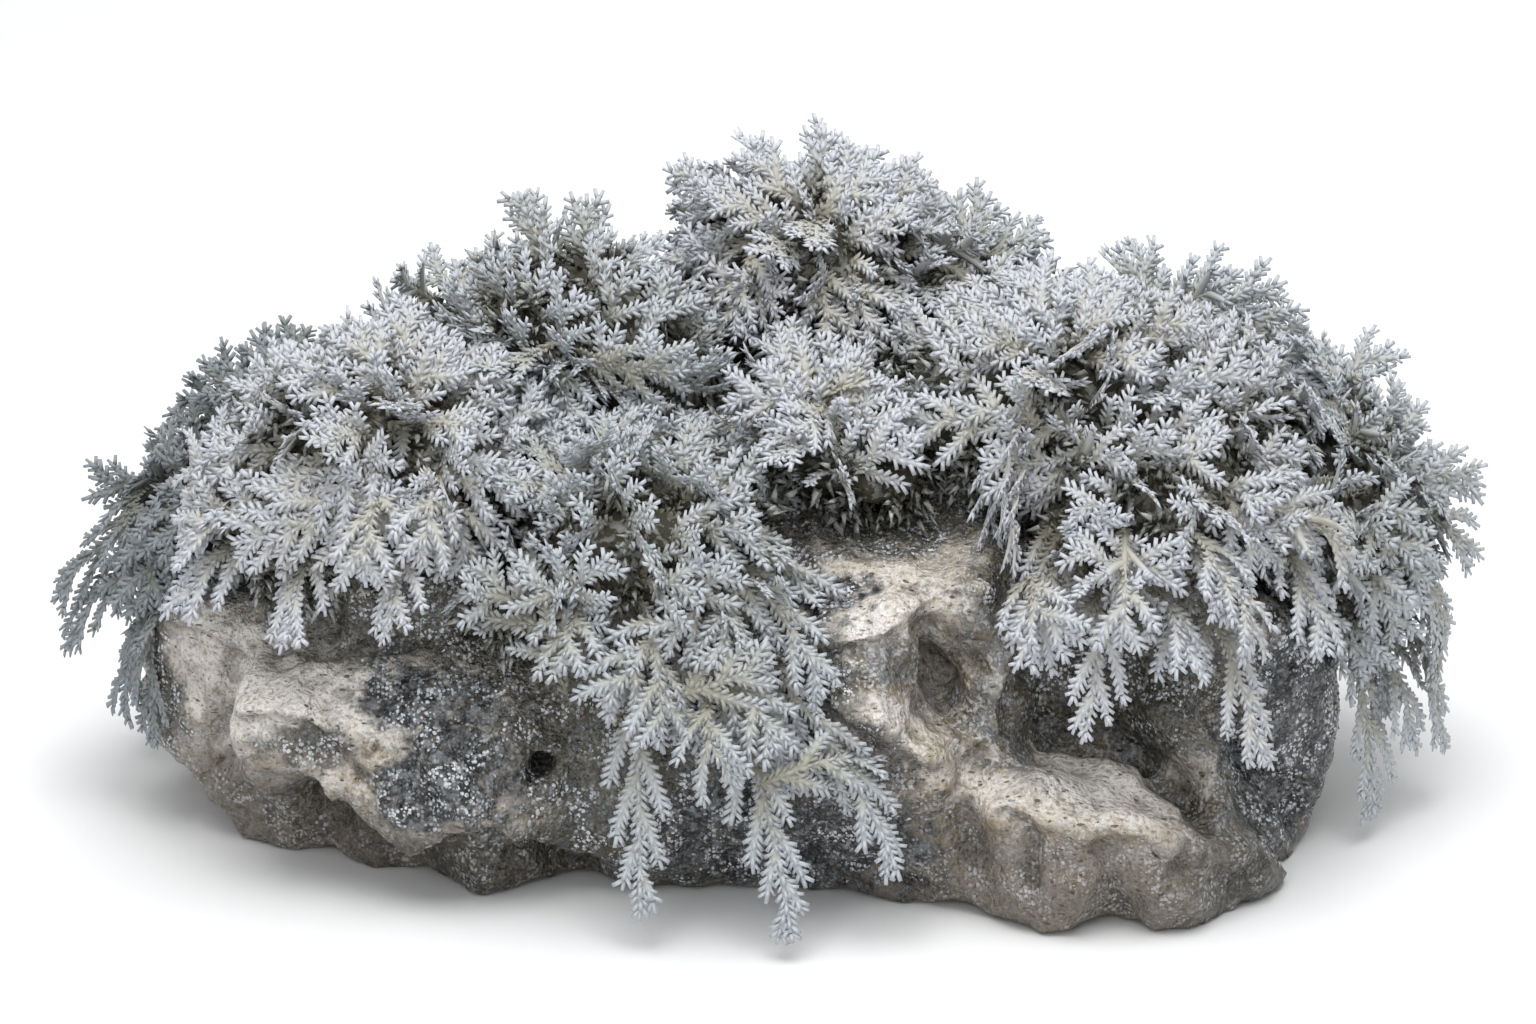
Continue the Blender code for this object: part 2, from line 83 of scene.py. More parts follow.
def srgb(red: int, green: int, blue: int) -> Colour:
    """Turn an 8-bit display colour into a linear one.

    Args:
        red: The red part, from 0 to 255.
        green: The green part.
        blue: The blue part.

    Returns:
        The linear colour, fully opaque.
    """
    parts = [value / 255 for value in (red, green, blue)]
    linear = [p / 12.92 if p <= 0.04045 else ((p + 0.055) / 1.055) ** 2.4 for p in parts]
    return (*linear, 1.0)


@dataclass(frozen=True)
class Cloud:
    """Noise whose blotches are about size mm wide, eased from 0 at low to 1 at high."""

    size: float
    low: float
    high: float
    detail: float = 3.0


@dataclass(frozen=True)
class Wire:
    """What comes out of a node, which can be added, taken away and multiplied like a number."""

    graph: Graph
    socket: bpy.types.NodeSocket

    def __add__(self, other: object) -> Wire:
        """Add a number."""
        return self.graph.math("ADD", self, other)

    def __sub__(self, other: object) -> Wire:
        """Take a number away."""
        return self.graph.math("SUBTRACT", self, other)

    def __rsub__(self, other: object) -> Wire:
        """Take this away from a number."""
        return self.graph.math("SUBTRACT", other, self)

    def __mul__(self, other: object) -> Wire:
        """Multiply by a number."""
        return self.graph.math("MULTIPLY", self, other)


class Graph:
    """A node tree that is wired up in code."""

    def __init__(self, tree: bpy.types.NodeTree) -> None:
        """Keep the tree that the nodes go into."""
        self.tree = tree

    def feed(self, node: bpy.types.Node, inputs: dict) -> None:
        """Set a node's inputs.

        Args:
            node: The node.
            inputs: For each input's name or index, a constant or the wire that feeds it.
        """
        for key, value in inputs.items():
            if isinstance(value, Wire):
                self.tree.links.new(value.socket, node.inputs[key])
            else:
                node.inputs[key].default_value = value

    def out(self, kind: str, inputs: dict | None = None, output: int | str = 0, **settings: object) -> Wire:
        """Add a node and take one of its outputs.

        Args:
            kind: The node's type name.
            inputs: For each input's name or index, a constant or the wire that feeds it.
            output: The output's name or index.
            settings: The node's own properties.

        Returns:
            The output.
        """
        node = self.tree.nodes.new(kind)
        for name, value in settings.items():
            setattr(node, name, value)
        self.feed(node, inputs or {})
        return Wire(self, node.outputs[output])

    def math(self, operation: str, *numbers: object) -> Wire:
        """Work out one number from others."""
        return self.out("ShaderNodeMath", dict(enumerate(numbers)), operation=operation)

    def vector(self, operation: str, *vectors: object) -> Wire:
        """Work out one vector from others."""
        return self.out("ShaderNodeVectorMath", dict(enumerate(vectors)), operation=operation)

    def scaled(self, vector: object, factor: object) -> Wire:
        """Multiply a vector by a number."""
        return self.out("ShaderNodeVectorMath", {"Vector": vector, "Scale": factor}, operation="SCALE")

    def ease(self, value: Wire, low: float, high: float) -> Wire:
        """Rise smoothly from 0 at low to 1 at high; low may be the larger one."""
        inputs = {"Value": value, "From Min": low, "From Max": high}
        return self.out("ShaderNodeMapRange", inputs, interpolation_type="SMOOTHSTEP")

    def blend(self, factor: Wire, first: object, second: object, way: str = "MIX") -> Wire:
        """Mix two colours, also by another way of blending."""
        inputs = {0: factor, 6: first, 7: second}
        return self.out("ShaderNodeMix", inputs, 2, data_type="RGBA", blend_type=way)

    def noise(self, place: Wire, size: float, detail: float = 2.0) -> Wire:
        """Make cloudy noise from 0 to 1, whose blotches are about that size."""
        return self.out("ShaderNodeTexNoise", {"Vector": place, "Scale": 0.5 / size, "Detail": detail})

    def cells(self, place: Wire, size: float, output: str = "Distance") -> Wire:
        """Read the distance to the nearest of scattered points about that far apart, or its colour."""
        return self.out("ShaderNodeTexVoronoi", {"Vector": place, "Scale": 1.0 / size}, output)


class Group(Graph):
    """A node group with named inputs and one output."""

    def __init__(self, name: str, kind: str, inputs: dict[str, tuple[str, ...]], output: str) -> None:
        """Start the group.

        Args:
            name: The group's name.
            kind: The tree's type name.
            inputs: For each kind of socket, the names of the inputs of that kind.
            output: The kind of the group's output.
        """
        super().__init__(bpy.data.node_groups.new(name, kind))
        sockets = self.tree.interface
        for socket, labels in inputs.items():
            for label in labels:
                sockets.new_socket(label, in_out="INPUT", socket_type=f"NodeSocket{socket}")
        sockets.new_socket("Result", in_out="OUTPUT", socket_type=f"NodeSocket{output}")
        self.given = self.tree.nodes.new("NodeGroupInput").outputs

    def take(self, label: str) -> Wire:
        """Read one of the group's inputs."""
        return Wire(self, self.given[label])

    def give(self, result: Wire) -> None:
        """Send the group's result out."""
        self.feed(self.tree.nodes.new("NodeGroupOutput"), {"Result": result})


class GrowthTree(Group):
    """A Geometry Nodes tree whose last input is the material that its result wears."""

    def __init__(self, name: str, inputs: dict[str, tuple[str, ...]]) -> None:
        """Start the tree; the inputs are those of Group, geometry first."""
        finish = {"Int": ("Seed",), "Material": ("Finish",)}
        super().__init__(name, "GeometryNodeTree", {**inputs, **finish}, "Geometry")

    def attribute(self, name: object, kind: str = "FLOAT") -> Wire:
        """Read a number or a vector that the geometry carries."""
        return self.out("GeometryNodeInputNamedAttribute", {"Name": name}, data_type=kind)

    def random_vector(self, limit: float, seed: Wire) -> Wire:
        """Draw a vector at each point, with parts from -limit to limit."""
        inputs = {0: (-limit,) * 3, 1: (limit,) * 3, "Seed": seed}
        return self.out("FunctionNodeRandomValue", inputs, data_type="FLOAT_VECTOR")

    def random_number(self, low: object, high: object, seed: Wire) -> Wire:
        """Draw a number at each point, between two limits."""
        return self.out("FunctionNodeRandomValue", {2: low, 3: high, "Seed": seed}, 1, data_type="FLOAT")

    def copies(
        self, piece: str, points: Wire, way: Wire, face: Wire, seed: Wire, chosen: Wire | bool = True
    ) -> Wire:
        """Set a copy of a piece on each point, between its Smallest and its Largest size.

        Args:
            piece: The name of the input that holds the piece.
            points: Where the copies go.
            way: Where the piece's +Z points.
            face: Where its +X points, as far as it can.
            seed: The seed of the sizes.
            chosen: Which points carry a copy.

        Returns:
            The copies, as instances.
        """
        axes = {"Primary Axis": way, "Secondary Axis": face}
        inputs = {
            "Points": points,
            "Selection": chosen,
            "Instance": self.out("GeometryNodeObjectInfo", {"Object": self.take(piece)}, "Geometry"),
            "Rotation": self.out("FunctionNodeAxesToRotation", axes, primary_axis="Z", secondary_axis="X"),
            "Scale": self.random_number(self.take("Smallest"), self.take("Largest"), seed),
        }
        return self.out("GeometryNodeInstanceOnPoints", inputs)

    def join(self, pieces: list[Wire]) -> Wire:
        """Join pieces of geometry.

        Args:
            pieces: The pieces, in the order in which they are linked.

        Returns:
            The joined geometry.
        """
        node = self.tree.nodes.new("GeometryNodeJoinGeometry")
        for piece in pieces:
            self.feed(node, {0: piece})
        return Wire(self, node.outputs[0])

    def end(self, geometry: Wire, smooth: bool = False) -> None:
        """Make the result's instances real, give it its material and send it out.

        Args:
            geometry: The result.
            smooth: Whether it is shaded smooth.
        """
        real = self.out("GeometryNodeRealizeInstances", {"Geometry": geometry})
        if smooth:
            real = self.out("GeometryNodeSetShadeSmooth", {"Geometry": real})
        inputs = {"Geometry": real, "Material": self.take("Finish")}
        self.give(self.out("GeometryNodeSetMaterial", inputs))

    def run(self, obj: bpy.types.Object, values: dict[str, object]) -> None:
        """Run the tree on an object and keep the result as its plain mesh.

        Args:
            obj: The object that holds the tree's input geometry.
            values: The value of each named input but the geometry.
        """
        modifier = obj.modifiers.new("grow", "NODES")
        modifier.node_group = self.tree
        for item in self.tree.interface.items_tree:
            if item.item_type == "SOCKET" and item.in_out == "INPUT" and item.name in values:
                modifier[item.identifier] = values[item.name]
        bake_modifiers(obj)


class MaterialGraph(Graph):
    """The nodes of a material, round its Principled BSDF."""

    def __init__(self, name: str) -> None:
        """Start the material.

        Args:
            name: The material's name.
        """
        self.material = bpy.data.materials.new(name)
        self.material.use_nodes = True
        super().__init__(self.material.node_tree)

    @cached_property
    def place(self) -> Wire:
        """Read the object's own coordinates."""
        return self.out("ShaderNodeTexCoord", output="Object")

    def read(self, name: str) -> Wire:
        """Read a number that the mesh carries."""
        return self.out("ShaderNodeAttribute", output="Fac", attribute_name=name)

    def cloud(self, cloud: Cloud, place: Wire | None = None) -> Wire:
        """Make a cloud, in the object's coordinates or in others."""
        noise = self.noise(place or self.place, cloud.size * MM, cloud.detail)
        return self.ease(noise, cloud.low, cloud.high)

    def bump(self, height: Wire, strength: float) -> Wire:
        """Bend the normal as a relief of that height would."""
        return self.out("ShaderNodeBump", {"Height": height, "Distance": 0.8 * MM, "Strength": strength})

    def shade(self, inputs: dict) -> bpy.types.Material:
        """Set the shader's inputs and return the material."""
        self.feed(self.tree.nodes["Principled BSDF"], inputs)
        return self.material


def bake_modifiers(obj: bpy.types.Object) -> None:
    """Make what the modifiers show the object's own mesh.

    Args:
        obj: The object, whose modifiers are removed.
    """
    graph = bpy.context.evaluated_depsgraph_get()
    mesh = bpy.data.meshes.new_from_object(obj.evaluated_get(graph))
    obj.modifiers.clear()
    old = obj.data
    obj.data = mesh
    bpy.data.meshes.remove(old)
    mesh.name = obj.name


def add_object(name: str, data: bpy.types.ID) -> bpy.types.Object:
    """Put a mesh, a light or a camera into the scene at the origin.

    Args:
        name: The object's name.
        data: What the object shows.

    Returns:
        The object.
    """
    obj = bpy.data.objects.new(name, data)
    bpy.context.scene.collection.objects.link(obj)
    return obj


def shape_object(name: str, shape: bmesh.types.BMesh) -> bpy.types.Object:
    """Put a bmesh into the scene and free it.

    Args:
        name: The object's name.
        shape: The bmesh.

    Returns:
        The object.
    """
    mesh = bpy.data.meshes.new(name)
    shape.to_mesh(mesh)
    shape.free()
    return add_object(name, mesh)


def paint(mesh: bpy.types.Mesh, name: str, values: np.ndarray) -> None:
    """Store one number, or one vector, at each point of a mesh.

    Args:
        mesh: The mesh.
        name: The name to read them by.
        values: The numbers, or a row for each vector.
    """
    is_vector = values.ndim == 2
    attribute = mesh.attributes.new(name, "FLOAT_VECTOR" if is_vector else "FLOAT", "POINT")
    attribute.data.foreach_set("vector" if is_vector else "value", values.astype(np.float32).ravel())


def read_points(mesh: bpy.types.Mesh) -> np.ndarray:
    """Read the places of a mesh's points.

    Args:
        mesh: The mesh.

    Returns:
        One row for each point.
    """
    points = np.empty(len(mesh.vertices) * 3)
    mesh.vertices.foreach_get("co", points)
    return points.reshape(-1, 3)


def write_points(mesh: bpy.types.Mesh, points: np.ndarray) -> None:
    """Move a mesh's points."""
    mesh.vertices.foreach_set("co", points.ravel())
    mesh.update()


def unit(vector: Vector, fallback: Vector = UP) -> Vector:
    """Bring a vector to length 1."""
    return vector.normalized() if vector.length > 1e-9 else fallback.copy()


def unit_rows(rows: np.ndarray) -> np.ndarray:
    """Bring every row of an array to length 1."""
    return rows / np.maximum(np.linalg.norm(rows, axis=1), 1e-9)[:, None]


def across(vector: Vector, normal: Vector) -> Vector:
    """Remove from a vector what points along the normal."""
    return vector - normal * vector.dot(normal)


def on_curve(start: object, bend: object, end: object, share: object) -> object:
    """Find the place at a share, or at a column of shares, of the curve through three points."""
    return start * (1 - share) ** 2 + bend * 2 * share * (1 - share) + end * share**2


class Surface:
    """A merged and smoothed copy of a node, to take nearest points, rays and samples from."""

    RAY = Vector((0.0131, 0.0217, 0.9997))
    RAY_STEP = 0.001 * MM
    TRIES_PER_POINT = 14

    def __init__(self, node: bpy.types.Object) -> None:
        """Merge the node's loose triangles and smooth its normals.

        Args:
            node: The node's object, whose mesh is only read.
        """
        shape = bmesh.new()
        shape.from_mesh(node.data)
        bmesh.ops.remove_doubles(shape, verts=shape.verts, dist=MERGE_DISTANCE)
        bmesh.ops.triangulate(shape, faces=shape.faces)
        shape.normal_update()
        shape.verts.index_update()
        self.tree = BVHTree.FromBMesh(shape)
        self.points = np.array([v.co for v in shape.verts])
        self.normals = np.array([v.normal for v in shape.verts])
        self.triangles = np.array([[v.index for v in f.verts] for f in shape.faces])
        edges = np.array([[v.index for v in e.verts] for e in shape.edges])
        shape.free()
        for _ in range(2):
            total = self.normals.copy()
            np.add.at(total, edges[:, 0], self.normals[edges[:, 1]])
            np.add.at(total, edges[:, 1], self.normals[edges[:, 0]])
            self.normals = unit_rows(total)

    def holds(self, point: Vector) -> bool:
        """Tell whether a point is inside, from how often a ray from it crosses the surface.

        Args:
            point: The point.

        Returns:
            True inside.
        """
        crossed = 0
        place = self.tree.ray_cast(point, self.RAY)[0]
        while place is not None:
            crossed += 1
            place = self.tree.ray_cast(place + self.RAY * self.RAY_STEP, self.RAY)[0]
        return crossed % 2 == 1

    def depth(self, point: Vector) -> float:
        """Tell how far below the surface a point lies; outside it is negative."""
        distance = self.tree.find_nearest(point)[3]
        return distance if self.holds(point) else -distance

    def scatter(self, spacing: float, dice: np.random.Generator) -> list[tuple[Vector, Vector]]:
        """Scatter points evenly over the surface.

        Args:
            spacing: The least distance between two points.
            dice: The source of random numbers.

        Returns:
            Each point with its smoothed normal.
        """
        corners = self.points[self.triangles]
        sides = corners[:, 1:] - corners[:, :1]
        areas = np.linalg.norm(np.cross(sides[:, 0], sides[:, 1]), axis=1)
        tries = int(areas.sum() / 2 / spacing**2 * self.TRIES_PER_POINT)
        chosen = dice.choice(len(areas), size=tries, p=areas / areas.sum())
        shares = dice.random((tries, 2))
        flip = shares.sum(axis=1) > 1
        shares[flip] = 1 - shares[flip]
        weights = np.column_stack((1 - shares.sum(axis=1), shares))
        places = np.einsum("ij,ijk->ik", weights, corners[chosen])
        normals = np.einsum("ij,ijk->ik", weights, self.normals[self.triangles[chosen]])
        kept: list[int] = []
        for index in range(tries):
            gaps = np.linalg.norm(places[kept] - places[index], axis=1)
            if not kept or gaps.min() >= spacing:
                kept.append(index)
        return [(Vector(places[i]), unit(Vector(normals[i]))) for i in kept]


@dataclass(frozen=True)
class SprayHabit:
    """How one kind of spray branches: lengths in millimetres, angles in degrees."""

    branch_gap: float
    longest_branch: float
    shortest_branch: float
    angle: float
    droop: float
    sag: float


class Habit(Enum):
    """The kinds of spray."""

    MOUND = SprayHabit(2.6, 7.2, 2.8, 46, 0.12, 0.06)
    UPRIGHT = SprayHabit(2.3, 5.8, 2.6, 40, 0.05, 0.0)
    HANGING = SprayHabit(4.1, 8.4, 3.2, 33, 0.04, 0.2)


@dataclass
class Branch:
    """One curved branch line from its base to its tip, with the tone of its spray."""

    points: np.ndarray
    tangents: np.ndarray
    ups: np.ndarray
    ages: np.ndarray
    girths: np.ndarray
    tone: float

    @staticmethod
    def bent(path: Curve, up: Vector, step: float, age: float, girth: float, tone: float) -> Branch:
        """Make a branch along a curve of three points.

        Args:
            path: The curve's start, its bend and its end.
            up: The side that the branch turns outwards.
            step: About how far apart its points lie.
            age: How old it is at its base, from 0 to 1.
            girth: Its stem's radius at the base.
            tone: Its spray's tone.

        Returns:
            The branch.
        """
        start, bend, end = (np.array(point) for point in path)
        length = np.linalg.norm(bend - start) + np.linalg.norm(end - bend)
        shares = np.linspace(0, 1, max(3, round(length / step) + 1))[:, None]
        points = on_curve(start, bend, end, shares)
        tangents = unit_rows((bend - start) * (1 - shares) + (end - bend) * shares)
        ups = unit_rows(np.array(up) - tangents * (tangents @ np.array(up))[:, None])
        shares = shares[:, 0]
        girths = girth * (0.74 + 0.5 * shares - 0.76 * shares**2)
        return Branch(points, tangents, ups, age * (1 - shares) ** 1.3, girths, tone)

    def retrace(self) -> None:
        """Bring the directions and the outward sides in line with points that were moved."""
        self.tangents = unit_rows(np.gradient(self.points, axis=0))
        self.ups = unit_rows(self.ups - self.tangents * (self.tangents * self.ups).sum(axis=1)[:, None])

    def length(self) -> float:
        """Measure the branch along its points."""
        return float(np.linalg.norm(np.diff(self.points, axis=0), axis=1).sum())

    def at(self, share: float) -> tuple[Vector, Vector, Vector, float]:
        """Read the branch at a share of its length.

        Args:
            share: The share, from 0 to 1.

        Returns:
            The place, the direction, the outward side and the age there.
        """
        place = share * (len(self.points) - 1)
        low = min(int(place), len(self.points) - 2)
        part = place - low
        rows = (self.points, self.tangents, self.ups)
        found = [Vector(row[low] * (1 - part) + row[low + 1] * part) for row in rows]
        age = self.ages[low] * (1 - part) + self.ages[low + 1] * part
        return found[0], unit(found[1]), unit(found[2]), float(age)


@dataclass
class SprayGrower:
    """Grows the sprays of one tuft and keeps them off the stone and the ground."""

    stone: Surface
    tuft: Surface
    dice: np.random.Generator
    stone_gap: float = 1.1 * MM
    ground: float = 0.9 * MM
    stem_step: float = 1.5 * MM
    stem_girth: float = 0.66 * MM
    stem_rooted_share: float = 0.35
    bare_foot: float = 3.0 * MM
    bare_tip: float = 1.6 * MM
    branch_step: float = 1.6 * MM
    branch_girth: float = 0.92 * MM
    branch_rooted_share: float = 0.3
    hidden_depth: float = 6.0 * MM
    root_depth: float = 3.0 * MM
    buried_depth: float = 1.5 * MM
    buried_share: float = 0.3
    gap_spread: float = 0.15
    reach_spread: float = 0.16
    angle_spread: float = 6.0
    tilt_spread: float = 0.12
    facing_depth: float = 30 * MM
    branches: list[Branch] = field(default_factory=list)

    def jitter(self, amount: float) -> float:
        """Draw a number from -amount to amount."""
        return float(self.dice.uniform(-amount, amount))

    def keep_clear(self, branch: Branch, rooted_share: float) -> None:
        """Push a branch out of the stone and off the ground.

        Args:
            branch: The branch, whose points are moved.
            rooted_share: The share from its base on that stays where it is.
        """
        for index in range(int(rooted_share * len(branch.points)), len(branch.points)):
            point = Vector(branch.points[index])
            nearest, normal, _, distance = self.stone.tree.find_nearest(point)
            height = distance if (point - nearest).dot(normal) > 0 else -distance
            if height < self.stone_gap:
                point = nearest + normal * self.stone_gap
                branch.ups[index] = normal
            point.z = max(point.z, self.ground)
            branch.points[index] = point
        branch.retrace()

    def is_buried(self, axis: Branch) -> bool:
        """Tell whether much of a spray's outer part would lie inside the stone.

        Args:
            axis: The spray's main axis.

        Returns:
            True where too much of it does.
        """
        outer = axis.points[len(axis.points) // 3 :]
        depths = [self.stone.depth(Vector(point)) for point in outer]
        return sum(depth > self.buried_depth for depth in depths) > self.buried_share * len(outer)

    def sunk(self, start: Vector) -> Vector:
        """Move a spray's start far enough into its tuft to hide it.

        Args:
            start: Where the spray would start.

        Returns:
            Where it does start.
        """
        if self.tuft.depth(start) >= self.root_depth:
            return start
        nearest, normal, _, _ = self.tuft.tree.find_nearest(start)
        return nearest - normal * self.root_depth

    def spray(self, path: Curve, up: Vector, habit: Habit) -> None:
        """Grow one flat spray.

        Args:
            path: The start, bend and end of its main axis.
            up: The side that the spray's flat face is turned to.
            habit: How it branches.
        """
        tone = self.jitter(1.0)
        outwards = np.array((0.6 * path[2].x, path[2].y - self.facing_depth, self.facing_depth))
        axis = Branch.bent(path, up, self.stem_step, 1.0, self.stem_girth, tone)
        if axis.ups.mean(axis=0) @ outwards < 0:
            axis.ups = -axis.ups
        if self.is_buried(axis) or self.tuft.depth(path[0]) < 0.5 * self.root_depth:
            return
        self.keep_clear(axis, self.stem_rooted_share)
        self.branches.append(axis)
        length = axis.length()
        side = 1 if self.jitter(1) > 0 else -1
        place = self.bare_foot
        while place < length - self.bare_tip:
            self.side_branch(axis, place / length, side, habit.value)
            place += habit.value.branch_gap * MM * (1 + self.jitter(self.gap_spread))
            side = -side

    def side_branch(self, axis: Branch, share: float, side: int, habit: SprayHabit) -> None:
        """Grow a side branch, unless it would start deep in the tuft.

        Args:
            axis: The main axis.
            share: Where on the axis the branch starts.
            side: 1 for the left of the axis and -1 for its right.
            habit: How the spray branches.
        """
        start, ahead, up, age = axis.at(share)
        if self.tuft.depth(start) > self.hidden_depth:
            return
        sideways = up.cross(ahead) * side
        room = (1 - share) * axis.length()
        swell = math.sin(math.pi * min(1.0, 0.25 + 0.75 * share)) ** 0.7
        reach = min(room * 0.85 + self.bare_tip, habit.longest_branch * MM * swell)
        reach = max(reach, habit.shortest_branch * MM) * (1 + self.jitter(self.reach_spread))
        angle = math.radians(habit.angle + self.jitter(self.angle_spread))
        tilt = self.jitter(self.tilt_spread)
        out = ahead * math.cos(angle) + sideways * math.sin(angle) + up * tilt
        bend = start + out * reach * 0.55 + up * reach * 0.06
        end = start + (out * 0.8 + ahead * 0.2 - up * habit.droop - UP * habit.sag) * reach
        age = min(1.0, 0.25 + 0.75 * age)
        branch = Branch.bent((start, bend, end), up, self.branch_step, age, self.branch_girth, axis.tone)
        self.keep_clear(branch, self.branch_rooted_share)
        self.branches.append(branch)

    def lines(self, name: str) -> bpy.types.Object:
        """Make all branch lines one object.

        Args:
            name: The object's name.

        Returns:
            An object of edges with the numbers that the foliage needs.
        """
        counts = [len(branch.points) for branch in self.branches]
        points = np.concatenate([branch.points for branch in self.branches])
        lower = np.delete(np.arange(len(points)), np.cumsum(counts) - 1)
        mesh = bpy.data.meshes.new(name)
        mesh.from_pydata(points.tolist(), np.column_stack((lower, lower + 1)).tolist(), [])
        paint(mesh, "up", np.concatenate([branch.ups for branch in self.branches]))
        paint(mesh, "age", np.concatenate([branch.ages for branch in self.branches]))
        paint(mesh, "girth", np.concatenate([branch.girths for branch in self.branches]))
        paint(mesh, "tone", np.repeat([branch.tone for branch in self.branches], counts))
        depths = [self.tuft.depth(Vector(point)) for point in points]
        paint(mesh, "depth", np.clip(depths, 0, None))
        return add_object(name, mesh)


@dataclass
class Lobe:
    """The small blunt leaf that clothes every branch, at its real size."""

    length: float = 1.62 * MM
    base_width: float = 0.6 * MM
    tip_width: float = 0.48 * MM
    ridge: float = 0.27 * MM
    ridge_share: float = 0.35
    belly: float = 0.16 * MM

    def make(self) -> bpy.types.Object:
        """Make the leaf.

        Returns:
            A wedge along +Z whose ridge is on its outward side, +X.
        """
        shape = bmesh.new()
        left = shape.verts.new((-self.belly, 0.5 * self.base_width, 0))
        right = shape.verts.new((-self.belly, -0.5 * self.base_width, 0))
        ridge = shape.verts.new((self.ridge, 0, self.ridge_share * self.length))
        left_tip = shape.verts.new((0, 0.5 * self.tip_width, self.length))
        right_tip = shape.verts.new((0, -0.5 * self.tip_width, self.length))
        shape.faces.new((left, right, ridge))
        shape.faces.new((left, ridge, left_tip))
        shape.faces.new((ridge, right, right_tip))
        shape.faces.new((ridge, right_tip, left_tip))
        shape.faces.new((right, left, left_tip, right_tip))
        bmesh.ops.recalc_face_normals(shape, faces=shape.faces)
        bmesh.ops.triangulate(shape, faces=shape.faces)
        obj = shape_object("lobe", shape)
        paint(obj.data, "tip", np.array([0.0, 0.0, self.ridge_share, 1.0, 1.0]))
        return obj


@dataclass
class Sprig:
    """A short toothed sprig, flat like a spray, that covers the thatch."""

    rows: int = 3
    gap: float = 1.15 * MM
    lean: float = 0.75
    spread: float = 0.35 * MM
    leaf: tuple[Point, ...] = ((-0.2, 0.42, 0), (-0.2, -0.42, 0), (0.3, 0, 0.7), (0, 0, 2.0))
    leaf_shares: tuple[float, ...] = (0.0, 0.0, 0.3, 1.0)

    def make(self) -> bpy.types.Object:
        """Put pairs of leaves and a last one over each other.

        Returns:
            The sprig, which stands along +Z with its face to +X.
        """
        shape = bmesh.new()
        tips = []
        for number in range(self.rows + 1):
            for side in (0,) if number == self.rows else (-1, 1):
                turn = Matrix.Rotation(-side * self.lean, 4, "X")
                place = Matrix.Translation((0.0, side * self.spread, number * self.gap)) @ turn
                corners = [shape.verts.new(place @ (Vector(corner) * MM)) for corner in self.leaf]
                for face in ((0, 1, 2), (0, 2, 3), (2, 1, 3), (1, 0, 3)):
                    shape.faces.new([corners[index] for index in face])
                tips += [(0.6 + 0.4 * share) * number / self.rows for share in self.leaf_shares]
        bmesh.ops.recalc_face_normals(shape, faces=shape.faces)
        obj = shape_object("sprig", shape)
        paint(obj.data, "tip", np.array(tips))
        return obj


